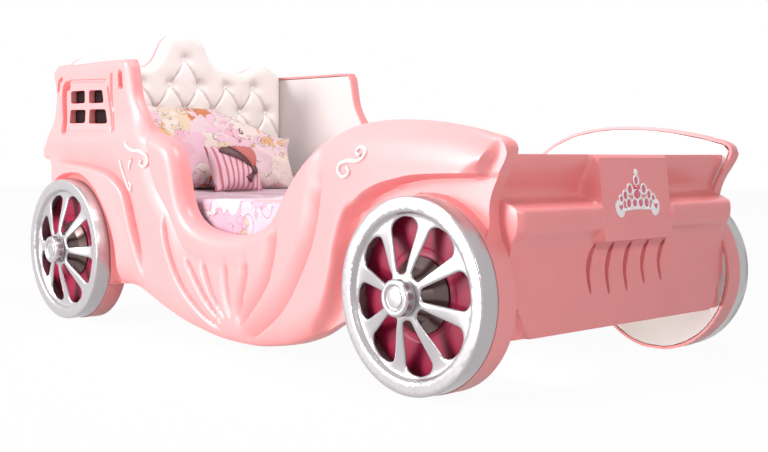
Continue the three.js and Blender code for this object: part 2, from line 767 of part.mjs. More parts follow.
function rounded(corners, share) {
  return corners.flatMap((p, i) => {
    const before = corners[(i + corners.length - 1) % corners.length];
    const after = corners[(i + 1) % corners.length];
    return [[mix(p[0], before[0], share), mix(p[1], before[1], share)],
      [mix(p[0], after[0], share), mix(p[1], after[1], share)]];
  });
}

const side_loop = sideOutline();
const side = reliefPanel(side_loop, sidePointsInside(side_loop), sideStand, lip_width, seat_depth);
const back_sheet = sidePoints(window_back_shares);
const sheet_front = seat_depth + window_back_thickness;
const panel_cuts = [
  ...pane_shares.map((pane) => prism(rounded(sidePoints(pane), pane_corner_share), 0,
    2 * body_stand)),
  prism(inset(back_sheet, -seat_gap), seat_depth - board_thickness, sheet_front + seat_gap),
];
const side_shell = cut(side.geometry, panel_cuts);
const side_board = prism(thinned(inset(side.rim, lip_width + board_play + seat_gap), board_play), 0,
  board_thickness);
const window_back = prism(back_sheet, seat_depth, sheet_front);

sides.forEach(([hand, frame]) => {
  addPiece(`side_shell_${hand}`, moved(side_shell, frame), 'pink');
  addPiece(`side_board_${hand}`, moved(side_board, frame), 'white_board');
  addPiece(`window_back_${hand}`, moved(window_back, frame), 'window_dark');
});

// Foot panel: how far it stands out from its inner face at each height, as shares of the
// ledge's depth and of the panel's height, top first
const foot_profile_shares = [
  [0.69, 1], [0.705, 0.965], [0.67, 0.93], [0.57, 0.865], [0.5, 0.8], [0.56, 0.755],
  [0.93, 0.712], [0.985, 0.69], [1, 0.64], [0.97, 0.585], [0.84, 0.53], [0.77, 0.47],
  [0.78, 0.35], [0.8, 0.1], [0.8, 0],
];
const foot_half_width = inner_half_width - seat_gap;
const foot_panel_height = foot_height - foot_underside;
const ledge_chamfer = 26;
const ledge_chamfer_depth = 9;
const ledge_end_column = 110;
const plate_step = 7;
const foot_corner = 90;
const foot_corner_sink = 8;
const foot_column = 78;
const plate_bottom_share = 0.505;
const plate_top_share = 0.982;
const louvre_top_share = 0.462;
const louvre_rise_shares = [0, -0.016, -0.01, 0.022, 0.03];
const louvre_point_shares = [0, 0.25, 0.5, 0.75, 1];
const louvre_bow_share = 0.5;
const louvre_lean_share = 0.4;
const louvre_skew_share = 0.8;
const louvre_end_share = 0.04;
const ledge_start_share = 0.75;
const corner_point_shares = [0.2, 0.5, 0.8];
const foot_rows = foot_profile_shares.map(([depth, height]) => [
  depth * foot_ledge_depth, foot_underside + height * foot_panel_height]);

function footProfile(up) {
  const row = foot_rows.findIndex(([, height], i) => i + 1 === foot_rows.length - 1
    || up >= foot_rows[i + 1][1]);
  const [[d1, h1], [d2, h2]] = [foot_rows[row], foot_rows[row + 1]];
  return mix(d1, d2, clamp((h1 - up) / (h1 - h2)));
}

function louvreLine(index) {
  const middle = (index - (louvre_count - 1) / 2) * louvre_pitch;
  const top = foot_underside + louvre_top_share * foot_panel_height;
  const drop = louvre_length - louvre_rise_shares[index] * foot_panel_height;
  return louvre_point_shares.map((share) => {
    const bow = louvre_bow_share * Math.sin(Math.PI * share ** louvre_skew_share);
    return [middle - louvre_bow * (bow + louvre_lean_share * share), top - drop * share];
  });
}

const louvres = Array.from({ length: louvre_count }, (none, i) => louvreLine(i));

function footStand([along, up]) {
  const plateBottom = foot_underside + plate_bottom_share * foot_panel_height;
  const plateTop = foot_underside + plate_top_share * foot_panel_height;
  const chamfer = clamp((Math.abs(along) - foot_half_width + ledge_chamfer) / ledge_chamfer);
  const profile = footProfile(up);
  const ledge = clamp((profile / foot_ledge_depth - ledge_start_share) / (1 - ledge_start_share));
  let stand = profile - ledge_chamfer_depth * chamfer * ledge;
  louvres.forEach((line) => {
    const near = toLine([along, up], line);
    const taper = Math.sin(Math.PI * clamp(near.along, louvre_end_share, 1 - louvre_end_share));
    stand -= valley(near.distance, louvre_width / 2, louvre_depth * taper);
  });
  const corner = (foot_half_width - Math.abs(along)) + (up - foot_underside);
  stand -= foot_corner_sink * smooth((foot_corner - corner) / foot_corner_sink);
  const outside = Math.max(Math.abs(along) - plate_width / 2, plateBottom - up, up - plateTop);
  const plate = mix(plate_bottom_depth, plate_top_depth,
    (up - plateBottom) / (plateTop - plateBottom));
  return mix(plate, stand, smooth(outside / plate_step));
}

function footPoints(loop) {
  const half = plate_width / 2;
  const columns = [-foot_half_width + ledge_chamfer, -foot_half_width + ledge_end_column,
    -half - plate_step, -half, -half / 2, 0];
  const all = [...columns, ...columns.map((a) => -a)];
  const heights = foot_rows.map(([, height]) => height);
  const plateRows = [plate_bottom_share, plate_top_share].flatMap((share) => {
    const up = foot_underside + share * foot_panel_height;
    return all.map((a) => [a, up]);
  });
  const grooveRows = louvres.flatMap((line) => [
    [line, near_gap * 2],
    [beside(line, louvre_width / 2).slice(1, -1), near_gap * 2],
    [beside(line, -louvre_width / 2).slice(1, -1), near_gap * 2],
  ]);
  const cornerLine = [-1, 1].flatMap((hand) => corner_point_shares.flatMap((share) => [
    [hand * (foot_half_width - foot_corner * share), foot_underside + foot_corner * (1 - share)],
    [hand * (foot_half_width - (foot_corner - foot_corner_sink) * share),
      foot_underside + (foot_corner - foot_corner_sink) * (1 - share)]]));
  return spaced(loop, [
    ...grooveRows,
    [plateRows, near_gap * 2],
    [all.flatMap((a) => heights.map((b) => [a, b])), near_gap * 2],
    [cornerLine, near_gap],
  ], near_gap);
}

function footOutline() {
  const columns = Math.round((2 * foot_half_width) / foot_column);
  const across = (up, from, to) => Array.from({ length: columns }, (none, i) => [
    mix(from, to, i / columns), up]);
  const rows = foot_rows.slice(0, -1).map(([, height]) => height);
  const down = rows.map((up) => [-foot_half_width, up]);
  const upward = [...rows].reverse().map((up) => [foot_half_width, up]);
  return [
    ...across(foot_underside, -foot_half_width, foot_half_width),
    [foot_half_width, foot_underside], ...upward.slice(0, -1),
    ...across(foot_height, foot_half_width, -foot_half_width), ...down,
  ];
}

const foot_loop = footOutline();
const foot = reliefPanel(foot_loop, footPoints(foot_loop), footStand, lip_width, seat_depth);
const foot_frame = axes(X, Z, Y.clone().negate(), new THREE.Vector3(0, foot_inner_y, 0));

addPiece('foot_shell', moved(foot.geometry, foot_frame), 'foot_pink');
addPiece('foot_board', moved(prism(inset(foot.rim, lip_width + seat_gap), 0, board_thickness),
  foot_frame), 'white_board');

// Tiara: a pierced plate with scalloped arches that rise to a point, on the foot panel's plate
const tiara_arch_shares = [[-0.36, 0.3], [-0.19, 0.52], [0, 0.74], [0.19, 0.52], [0.36, 0.3]];
const tiara_arch_radius_share = 0.115;
const tiara_arch_middle_share = 0.78;
const tiara_arch_rise_share = 0.42;
const tiara_hole_middle_share = 0.85;
const tiara_hole_rise_share = 0.26;
const tiara_drop_place_shares = [0, 0.93];
const tiara_drop_radius_shares = [0.045, 0.07];
const tiara_end_place_shares = [[-0.44, 0.16], [0.44, 0.16]];
const tiara_end_radius_shares = [0.066, 0.16];
const tiara_band_end_share = 0.46;
const tiara_band_low_share = 0.02;
const tiara_band_share = 0.12;
const tiara_sag_share = 0.1;
const tiara_wire_share = 0.45;
const tiara_centre_share = 0.77;
const tiara_arc_count = 10;
const tiara_hole_count = 6;

function tiaraGeometry() {
  const [w, h] = [tiara_width, tiara_height];
  const arc = (from, to, rise) => Array.from({ length: tiara_arc_count + 1 }, (none, i) => {
    const s = i / tiara_arc_count;
    return [mix(from, to, s) * w, (rise + tiara_sag_share * Math.sin(Math.PI * s)) * h];
  });
  const band = [...arc(-tiara_band_end_share, tiara_band_end_share, tiara_band_low_share),
    ...arc(tiara_band_end_share, -tiara_band_end_share, tiara_band_low_share + tiara_band_share)];
  const oval = ([a, b], rx, rz, count) => circlePoints([0, 0], 1, count)
    .map(([c, s]) => [a * w + c * rx * w, b * h + s * rz * h]);
  const discs = [
    ...tiara_arch_shares.map(([a, b]) => [[a, b * tiara_arch_middle_share],
      tiara_arch_radius_share, b * tiara_arch_rise_share]),
    ...tiara_end_place_shares.map((place) => [place, ...tiara_end_radius_shares]),
    [tiara_drop_place_shares, ...tiara_drop_radius_shares],
  ];
  const plate = toSolid(prism(band, 0, tiara_thickness));
  const solid = discs.reduce((sum, [middle, rx, rz]) => sum.add(toSolid(
    prism(oval(middle, rx, rz, tiara_arc_count), 0, tiara_thickness))), plate);
  const holes = tiara_arch_shares.map(([a, b]) => prism(
    oval([a, b * tiara_hole_middle_share], tiara_arch_radius_share * tiara_wire_share,
      b * tiara_hole_rise_share, tiara_hole_count), -tiara_thickness, 2 * tiara_thickness));
  return cut(toGeometry(solid), holes);
}

function plateFrame() {
  const low = foot_underside + plate_bottom_share * foot_panel_height;
  const high = foot_underside + plate_top_share * foot_panel_height;
  const lowY = foot_inner_y - plate_bottom_depth;
  const highY = foot_inner_y - plate_top_depth;
  const up = new THREE.Vector3(0, highY - lowY, high - low).normalize();
  const out = X.clone().cross(up).normalize();
  const share = (tiara_centre_share - plate_bottom_share) / (plate_top_share - plate_bottom_share);
  const seat = new THREE.Vector3(0, mix(lowY, highY, share), mix(low, high, share));
  seat.addScaledVector(up, -tiara_height / 2).addScaledVector(out, seat_gap);
  return axes(X, up, out, seat);
}

addPiece('tiara', moved(tiaraGeometry(), plateFrame()), 'white_plastic');

// Headboard: the board and the buttoned pad share one outline, as shares of the half width and
// of the rise of the crest above the shoulders' foot
const headboard_shares = [
  [1, 0], [0.995, 0.09], [0.955, 0.2], [0.88, 0.32], [0.79, 0.36], [0.705, 0.29], [0.62, 0.18],
  [0.53, 0.14], [0.405, 0.15], [0.325, 0.22], [0.265, 0.38], [0.218, 0.63], [0.178, 0.84],
  [0.107, 0.975], [0, 1],
];
const headboard_rise = 160;
const headboard_step = 30;
const pad_side_clearance = 2;
const pad_half_width = inner_half_width - pad_side_clearance;
const pad_edge_share = 0.33;
const button_row_count = 6;
const button_reach_count = 3;
const button_ring_count = 4;
const fold_point_shares = [0.25, 0.5, 0.75];
const tuft_point_factor = 1.4;
const side_row_factor = 2.4;

function headboardLoop(underside, halfWidth, step) {
  const foot = headboard_height - headboard_rise;
  const half = smoothLine(headboard_shares.map(([a, b]) => [a * halfWidth,
    foot + b * headboard_rise]), step);
  const left = half.slice(0, -1).reverse().map(([a, b]) => [-a, b]);
  const sideRows = Math.max(2, Math.round((foot - underside) / (side_row_factor * step)));
  const rise = (a) => Array.from({ length: sideRows }, (none, i) => [a,
    mix(underside, foot, i / sideRows)]);
  const columns = Math.round(halfWidth / step);
  const base = Array.from({ length: columns - 1 }, (none, i) => [
    mix(-halfWidth, halfWidth, (i + 1) / columns), underside]);
  return [...base, ...rise(halfWidth), ...half, ...left, ...rise(-halfWidth).reverse()];
}

const buttons = Array.from({ length: button_row_count }, (none, row) => row).flatMap((row) => {
  const up = button_top_height - row * button_pitch_up;
  const offset = row % 2 === 0 ? 0 : button_pitch_across / 2;
  const reach = row === 0 ? 0 : button_reach_count;
  return Array.from({ length: 2 * reach + 1 }, (none, i) => [
    offset + (i - reach) * button_pitch_across, up]);
}).filter(([a, b]) => Math.abs(a) < pad_half_width - button_spread
  && b > pad_underside + button_spread);

const folds = buttons.flatMap(([a, b]) => [-1, 1].map((hand) => [[a, b],
  [a + (hand * button_pitch_across) / 2, b - button_pitch_up]]));

const pad_loop = headboardLoop(pad_underside, pad_half_width, headboard_step);
const pad_ring = [...pad_loop, pad_loop[0]];

function padStand(point) {
  const edge = toLine(point, pad_ring).distance;
  const crown = pad_thickness * mix(pad_edge_share, 1, round(edge / pad_edge_radius));
  const sink = Math.max(...buttons.map(([a, b]) => button_sink * Math.exp(-(((point[0] - a) ** 2
    + (point[1] - b) ** 2) / button_spread ** 2))));
  const fold = Math.max(...folds.map((line) => valley(toLine(point, line).distance, fold_width,
    fold_sink)));
  return crown - Math.max(sink, fold);
}

function padPoints(loop) {
  const along = folds.flatMap(([p, q]) => fold_point_shares.map((s) => [mix(p[0], q[0], s),
    mix(p[1], q[1], s)]));
  const centres = buttons.flatMap(([a, b]) => [-1, 1].flatMap((hand) => {
    const middle = a + (hand * button_pitch_across) / 2;
    return [[middle, b], [middle - button_spread, b], [middle + button_spread, b],
      [middle, b - button_spread * tuft_point_factor],
      [middle, b + button_spread * tuft_point_factor]];
  }));
  return spaced(loop, [
    [buttons, near_gap],
    [buttons.flatMap((b) => circlePoints(b, button_spread / 2, button_ring_count)), near_gap],
    [along, point_gap * 0.8],
    [centres, point_gap],
    [inset(loop, pad_edge_radius * 0.5), point_gap],
  ], headboard_step * 0.4);
}

const pad = fillLoop(pad_loop, padPoints(pad_loop));
function padGeometry() {
  const front = pad.points.map(([a, b]) => [a, b, padStand([a, b])]);
  const back = pad.loop.map(([a, b]) => [a, b, 0]);
  const count = pad.loop.length;
  const start = front.length;
  const triangles = pad.faces.flat();
  for (let i = 0; i < count; i += 1) {
    const next = (i + 1) % count;
    triangles.push(i, start + i, next, next, start + i, start + next);
  }
  const shape = pad.loop.map(([a, b]) => new THREE.Vector2(a, b));
  THREE.ShapeUtils.triangulateShape(shape, []).forEach(([i, j, k]) => {
    triangles.push(start + i, start + k, start + j);
  });
  return indexed([...front, ...back].flat(), triangles);
}

const pad_back_y = pad_front_y + pad_thickness;
const board_front_y = pad_back_y + seat_gap;
const headboard_half_width = inner_half_width - seat_gap;
addPiece('headboard_pad', moved(padGeometry(), axes(X, Z, Y.clone().negate(),
  new THREE.Vector3(0, pad_back_y, 0))), 'leatherette');
addPiece('headboard_board', moved(prism(headboardLoop(headboard_underside, headboard_half_width,
  headboard_step), -board_thickness, 0), axes(X, Z, Y.clone().negate(),
  new THREE.Vector3(0, board_front_y, 0))), 'pink');

// Wheels, modelled about the Z axis with the street side up, then laid against the lobes
const rim_inner_radius = wheel_radius - rim_face_width;
const window_outer_radius = rim_inner_radius - window_outer_clearance;
const window_inner_radius = hub_radius + window_hub_clearance;
const hub_ring_radius = hub_radius - hub_ring_inset;
const cone_base_radius = hub_radius + cone_flare;
const web_edge_depth = rim_depth - spoke_web_rise;
const web_hub_depth = rim_depth + spoke_web_rise;
const rim_back_radius = rim_inner_radius - rim_wall;
const dish_radius = rim_back_radius - seat_gap - dish_play;
const rim_facet_count = 32;
const hub_facet_count = 18;
const turn_quarter = Math.PI / 2;
const window_row_shares = [0.1, 0.5, 0.84, 0.96];
const window_hub_round_share = 0.12;
const window_rim_round_share = 0.22;
const cone_waist_share = 0.45;
const cone_waist_rise_share = 0.4;

function turned(profile, steps) {
  const points = profile.map(([radius, height]) => new THREE.Vector2(radius, height));
  const geometry = new THREE.LatheGeometry(points, steps);
  geometry.rotateX(turn_quarter);
  return toSolid(outward(geometry));
}

// A lathe whose profile runs the other way comes out inside out; this turns it right side out
function outward(geometry) {
  const merged = mergeVertices(stripped(geometry));
  const position = merged.attributes.position;
  const index = Array.from(merged.index.array);
  const kept = [];
  let volume = 0;
  const [p, q, r] = [new THREE.Vector3(), new THREE.Vector3(), new THREE.Vector3()];
  for (let i = 0; i < index.length; i += 3) {
    const [a, b, c] = index.slice(i, i + 3);
    if (a === b || b === c || c === a) continue;
    [p, q, r].forEach((v, n) => v.fromBufferAttribute(position, [a, b, c][n]));
    volume += p.dot(q.cross(r));
    kept.push(a, b, c);
  }
  if (volume < 0) kept.reverse();
  merged.setIndex(kept);
  return merged;
}

function rimGeometry() {
  const body = turned([
    [0, web_hub_depth], [hub_radius, web_hub_depth], [window_outer_radius, web_edge_depth],
    [rim_inner_radius, rim_depth], [wheel_radius - rim_wall, rim_depth],
    [wheel_radius, rim_depth - rim_wall], [wheel_radius, 0], [rim_back_radius, 0],
    [window_outer_radius, web_edge_depth - spoke_web_thickness],
    [hub_radius, web_hub_depth - spoke_web_thickness],
    [0, web_hub_depth - spoke_web_thickness],
  ], rim_facet_count);
  const halfWindow = Math.PI / spoke_count;
  const sideOf = window_row_shares.map((share) => {
    const radius = mix(window_inner_radius, window_outer_radius, share);
    const half = spoke_width / 2 + spoke_flare * share;
    const ends = Math.min(round(share / window_hub_round_share),
      round((1 - share) / window_rim_round_share));
    return [radius, (halfWindow - Math.asin(half / radius)) * ends];
  });
  const polar = (radius, angle) => [radius * Math.cos(angle), radius * Math.sin(angle)];
  const opening = [polar(window_inner_radius, 0), ...sideOf.map(([r, a]) => polar(r, -a)),
    polar(window_outer_radius, 0), ...sideOf.reverse().map(([r, a]) => polar(r, a))];
  return Array.from({ length: spoke_count }, (none, i) => {
    const tool = prism(opening, 0, 2 * web_hub_depth);
    tool.rotateZ((2 * i + 1) * halfWindow);
    return tool;
  }).reduce((solid, tool) => solid.subtract(toSolid(tool)), body);
}

function hubGeometry() {
  const chamfer = hub_ring_sink;
  return turned([
    [0, 0], [hub_radius, 0], [hub_radius, hub_depth - chamfer],
    [hub_radius - chamfer, hub_depth], [hub_ring_radius, hub_depth],
    [hub_ring_radius - chamfer, hub_depth - hub_ring_sink],
    [0, hub_depth - hub_ring_sink],
  ], hub_facet_count);
}

function coneGeometry() {
  const base = dish_thickness + seat_gap;
  const top = web_hub_depth - spoke_web_thickness - seat_gap;
  const neck = hub_radius - seat_gap;
  return turned([
    [0, base], [cone_base_radius, base], [cone_base_radius, base + rim_wall],
    [mix(neck, cone_base_radius, cone_waist_share), mix(base, top, cone_waist_rise_share)],
    [neck, top], [0, top],
  ], hub_facet_count);
}

function dishGeometry() {
  return turned([
    [0, 0], [dish_radius, 0], [dish_radius, dish_thickness], [0, dish_thickness],
  ], rim_facet_count);
}

const wheel_parts = [
  ['rim', toGeometry(rimGeometry()), 0, 'white_plastic'],
  ['hub_cap', toGeometry(hubGeometry()), web_hub_depth + seat_gap, 'white_plastic'],
  ['cone', toGeometry(coneGeometry()), 0, 'grey_metallic'],
  ['dish', toGeometry(dishGeometry()), 0, 'magenta'],
];
const wheel_turn_degrees = { front: -13, rear: 0 };

['front', 'rear'].forEach((end) => {
  ['left', 'right'].forEach((hand) => {
    const sign = hand === 'left' ? -1 : 1;
    const wheel = new THREE.Group();
    wheel.position.set(sign * (lobe_face_x + seat_gap),
      end === 'front' ? front_wheel_y : rear_wheel_y, wheel_radius);
    wheel.rotation.set(0, sign * turn_quarter, 0);
    bed.add(wheel);
    wheel_parts.forEach(([kind, geometry, lift, look]) => {
      const mesh = addPiece(`${end}_wheel_${kind}_${hand}`, geometry, look, wheel);
      mesh.position.z = lift;
      mesh.rotation.z = -sign * THREE.MathUtils.degToRad(wheel_turn_degrees[end]);
    });
  });
});

// Scroll ornaments: ribbons that follow the moulded face and taper to a curl
const scrolls = {
  front_scroll: [[-0.525, 0.618], [-0.537, 0.602], [-0.517, 0.589], [-0.497, 0.602],
    [-0.498, 0.625], [-0.527, 0.636], [-0.562, 0.636], [-0.585, 0.65], [-0.585, 0.668],
    [-0.565, 0.676], [-0.556, 0.66], [-0.57, 0.652]],
  rear_scroll_upper: [[0.466, 0.694], [0.461, 0.677], [0.432, 0.661], [0.393, 0.658],
    [0.361, 0.642], [0.355, 0.62], [0.368, 0.602], [0.386, 0.61], [0.38, 0.626]],
  rear_scroll_comma: [[0.43, 0.628], [0.442, 0.612], [0.445, 0.592]],
  rear_scroll_lower: [[0.497, 0.624], [0.488, 0.589], [0.473, 0.545], [0.462, 0.52],
    [0.445, 0.516], [0.437, 0.532], [0.449, 0.542]],
};
const scroll_step = 17;
const scroll_end_share = 0.45;

function scrollGeometry(shares) {
  const line = smoothLine(sidePoints(shares), scroll_step);
  const widths = line.map((p, i) => scroll_width * mix(scroll_end_share, 1,
    Math.abs(Math.sin((Math.PI * i) / (line.length - 1))) ** 0.6) / 2);
  const left = beside(line, 1).map(([a, b], i) => [mix(line[i][0], a, widths[i]),
    mix(line[i][1], b, widths[i])]);
  const right = beside(line, -1).map(([a, b], i) => [mix(line[i][0], a, widths[i]),
    mix(line[i][1], b, widths[i])]);
  const base = line.map((p) => facetStand(side.front, sideStand, p));
  const rows = [left, right].map((row) => row.map(([a, b], i) => [a, b, base[i]]));
  const count = line.length;
  const low = rows.map((row) => row.map(([a, b, s]) => [a, b, s - scroll_bite]));
  const high = rows.map((row) => row.map(([a, b, s]) => [a, b, s + scroll_thickness * 0.5]));
  const crest = line.map(([a, b], i) => [a, b, base[i] + scroll_thickness]);
  const strips = [low[1], high[1], crest, high[0], low[0]];
  const triangles = [];
  strips.forEach((strip, n) => {
    const start = n * count;
    const next = ((n + 1) % strips.length) * count;
    for (let i = 0; i + 1 < count; i += 1) {
      triangles.push(start + i, start + i + 1, next + i, start + i + 1, next + i + 1, next + i);
    }
  });
  [0, count - 1].forEach((i) => {
    for (let n = 1; n + 1 < strips.length; n += 1) {
      const fan = [i, n * count + i, (n + 1) * count + i];
      triangles.push(...(i === 0 ? fan : fan.reverse()));
    }
  });
  const seat = side_shell.clone().translate(0, 0, seat_gap);
  return cut(outward(indexed(strips.flat(2), triangles)), [seat]);
}

Object.entries(scrolls).forEach(([name, shares]) => {
  const geometry = scrollGeometry(shares);
  sides.forEach(([hand, frame]) => addPiece(`${name}_${hand}`, moved(geometry, frame),
    'white_plastic'));
});

// Slatted base: two rails on the side boards and the slats across them
const rail_top = slat_top_height - slat_thickness - seat_gap;
const rail_length = pad_front_y - foot_inner_y - 2 * bracket_leg;
const rail_shape = prism([[0, 0], [rail_width, 0], [rail_width, rail_height], [0, rail_height]],
  -rail_length / 2, rail_length / 2);
const railAxes = (sign) => axes(X.clone().multiplyScalar(-sign), Z, Y, new THREE.Vector3(
  sign * (inner_half_width - seat_gap), mattress_middle, rail_top - rail_height));
addPiece('side_rail_left', moved(rail_shape, railAxes(-1)), 'pine');
addPiece('side_rail_right', moved(rail_shape, railAxes(1)), 'pine');

const slat_half_length = inner_half_width - mattress_clearance / 4;
const slat_pitch = (rail_length - slat_width) / (slat_count - 1);
function slatGeometry() {
  const half = slat_width / 2;
  const r = slat_edge_radius;
  const section = rounded([[-half, 0], [half, 0], [half, slat_thickness], [-half, slat_thickness]],
    r / slat_width).map(([a, b]) => [a, b]);
  return prism(section, -slat_half_length, slat_half_length);
}

const slat = slatGeometry();
for (let i = 0; i < slat_count; i += 1) {
  const place = mattress_middle + (i - (slat_count - 1) / 2) * slat_pitch;
  const frame = axes(Y, Z, X, new THREE.Vector3(0, place, rail_top + seat_gap));
  addPiece(`slat_${String(i + 1).padStart(2, '0')}`, moved(slat, frame), 'pine');
}

// Corner brackets: steel angles that tie the side boards to the foot and head boards
const bracket_mid_height = bracket_underside + bracket_height / 2;
const bracket_section = [[0, 0], [bracket_leg, 0], [bracket_leg, bracket_thickness],
  [bracket_thickness, bracket_thickness], [bracket_thickness, bracket_leg], [0, bracket_leg]];
const bracket = prism(bracket_section, -bracket_height / 2, bracket_height / 2);
[['foot', foot_inner_y + seat_gap, 1], ['head', board_front_y - seat_gap, -1]].forEach(
  ([end, place, inwards]) => {
    [['left', -1], ['right', 1]].forEach(([hand, sign]) => {
      const corner = new THREE.Vector3(sign * (inner_half_width - seat_gap), place,
        bracket_mid_height);
      const frame = axes(X.clone().multiplyScalar(-sign), Y.clone().multiplyScalar(inwards), Z,
        corner);
      addPiece(`${end}_bracket_${hand}`, moved(bracket, frame), 'steel');
    });
  });

// Mattress and its cover
function roundedRectangle(halfWidth, halfLength, radius, step) {
  const shape = new THREE.Shape();
  shape.absarc(halfWidth - radius, halfLength - radius, radius, 0, turn_quarter, false);
  shape.absarc(radius - halfWidth, halfLength - radius, radius, turn_quarter, Math.PI, false);
  shape.absarc(radius - halfWidth, radius - halfLength, radius, Math.PI, 3 * turn_quarter, false);
  shape.absarc(halfWidth - radius, radius - halfLength, radius, 3 * turn_quarter, 4 * turn_quarter,
    false);
  shape.closePath();
  const length = shape.getLength();
  return shape.getSpacedPoints(Math.round(length / step)).slice(0, -1).map((p) => [p.x, p.y]);
}

function loft(rings) {
  const count = rings[0].length;
  const triangles = [];
  for (let row = 0; row + 1 < rings.length; row += 1) {
    for (let i = 0; i < count; i += 1) {
      const next = (i + 1) % count;
      const [p, q, r, s] = [row * count + i, row * count + next, (row + 1) * count + i,
        (row + 1) * count + next];
      triangles.push(p, q, r, q, s, r);
    }
  }
  const cap = (row, turnedOver) => {
    const shape = rings[row].map(([a, b]) => new THREE.Vector2(a, b));
    THREE.ShapeUtils.triangulateShape(shape, []).forEach(([i, j, k]) => {
      const fan = [row * count + i, row * count + j, row * count + k];
      triangles.push(...(turnedOver ? fan.reverse() : fan));
    });
  };
  cap(0, true);
  cap(rings.length - 1, false);
  return outward(indexed(rings.flat(2), triangles));
}

const mattress_base = slat_top_height + seat_gap;
const mattress_top = mattress_base + mattress_height;
const mattress_step = 120;
const half_mattress = [mattress_width / 2, mattress_length / 2];
const atHeight = (loop, up) => loop.map(([a, b]) => [a, b, up]);
function mattressGeometry() {
  const e = mattress_edge_radius;
  const side_loop_outer = roundedRectangle(...half_mattress, mattress_corner_radius, mattress_step);
  const near = inset(side_loop_outer, e * 0.3);
  const far = inset(side_loop_outer, e);
  return loft([
    atHeight(far, 0), atHeight(near, e * 0.3), atHeight(side_loop_outer, e),
    atHeight(side_loop_outer, mattress_height - e), atHeight(near, mattress_height - e * 0.3),
    atHeight(far, mattress_height),
  ]);
}

const cover_step = 60;
function coverGeometry() {
  const e = mattress_edge_radius;
  const waves = (loop, reach) => {
    const normalOut = inset(loop, -1);
    return loop.map(([a, b], i) => {
      const swing = reach * cover_wave * (1 + Math.sin((2 * Math.PI * i * cover_step)
        / cover_wave_length)) / 2;
      return [mix(a, normalOut[i][0], swing), mix(b, normalOut[i][1], swing)];
    });
  };
  const body = roundedRectangle(half_mattress[0] + cover_gap, half_mattress[1] + cover_gap,
    mattress_corner_radius, cover_step);
  const shell = inset(body, -cover_thickness);
  const top = mattress_height + cover_gap;
  const low = mattress_height - cover_drop;
  return loft([
    atHeight(inset(body, e), top), atHeight(body, top - e / 2), atHeight(waves(body, 1), low),
    atHeight(waves(shell, 1), low), atHeight(shell, top + cover_thickness - e / 2),
    atHeight(inset(shell, e), top + cover_thickness),
  ]);
}

const mattress = addPiece('mattress', mattressGeometry(), 'ticking');
mattress.position.set(0, mattress_middle, mattress_base);
const cover = addPiece('bedspread', coverGeometry(), 'cotton');
cover.position.set(0, mattress_middle, mattress_base);

const swell_power = 0.42;

// Cushions: crowned forms that thin to a seam, with sides drawn in between the corners
function cushionGeometry(width, height, crown, pull, columns, rows) {
  const index = new Map();
  const coordinates = [];
  const vertex = (i, j, face) => {
    const edge = i === 0 || j === 0 || i === columns || j === rows;
    const key = `${i}_${j}_${edge ? 0 : face}`;
    if (!index.has(key)) {
      const u = Math.sin(turn_quarter * ((2 * i) / columns - 1));
      const v = Math.sin(turn_quarter * ((2 * j) / rows - 1));
      const swell = edge ? 0 : ((1 - u * u) * (1 - v * v)) ** swell_power;
      index.set(key, coordinates.length / 3);
      coordinates.push((width / 2) * u * (1 - pull * (1 - v * v) * u * u),
        (height / 2) * v * (1 - pull * (1 - u * u) * v * v), face * crown * swell);
    }
    return index.get(key);
  };
  const triangles = [];
  [1, -1].forEach((face) => {
    for (let i = 0; i < columns; i += 1) {
      for (let j = 0; j < rows; j += 1) {
        const [p, q, r, s] = [vertex(i, j, face), vertex(i + 1, j, face),
          vertex(i + 1, j + 1, face), vertex(i, j + 1, face)];
        triangles.push(...(face > 0 ? [p, q, r, p, r, s] : [p, r, q, p, s, r]));
      }
    }
  });
  return outward(indexed(coordinates, triangles));
}

const cushion_pull_share = 0.09;
const pillow_facet_counts = [14, 10];
const cushion_facet_counts = [10, 8];
const pillow_tilt_degrees = 66;
const cushion_tilt_degrees = 66;
const pillow_across = 10;
const cushion_across = 5;
const rest_gap = 0.5;
const bed_top = mattress_top + cover_gap + cover_thickness;

// A cushion leans back by its tilt from level, stands on the cover and stops at a back edge
function lean(mesh, tilt, across, backEdge) {
  mesh.rotation.set(THREE.MathUtils.degToRad(tilt), 0, 0);
  const box = new THREE.Box3().setFromObject(mesh, true);
  mesh.position.set(across, backEdge - box.max.y, bed_top + rest_gap - box.min.z);
}

const pillow = addPiece('pillow', cushionGeometry(pillow_width, pillow_height, pillow_crown,
  cushion_pull_share, ...pillow_facet_counts), 'cotton');
const bow_cushion = addPiece('bow_cushion', cushionGeometry(cushion_width, cushion_height,
  cushion_crown, cushion_pull_share, ...cushion_facet_counts), 'cotton');
lean(pillow, pillow_tilt_degrees, pillow_across, pad_front_y - rest_gap);
lean(bow_cushion, cushion_tilt_degrees, cushion_across, pad_front_y - bow_cushion_back);

// The origin lies in the middle of the bed's length, on the floor
const whole = new THREE.Box3().setFromObject(bed, true);
bed.position.y = -(whole.min.y + whole.max.y) / 2;

export default bed;
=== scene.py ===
"""Looks of a children's bed shaped as a princess carriage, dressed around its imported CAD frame."""

import math

import bmesh
import bpy
import numpy as np
from mathutils import Matrix, Vector
from mathutils.geometry import delaunay_2d_cdt


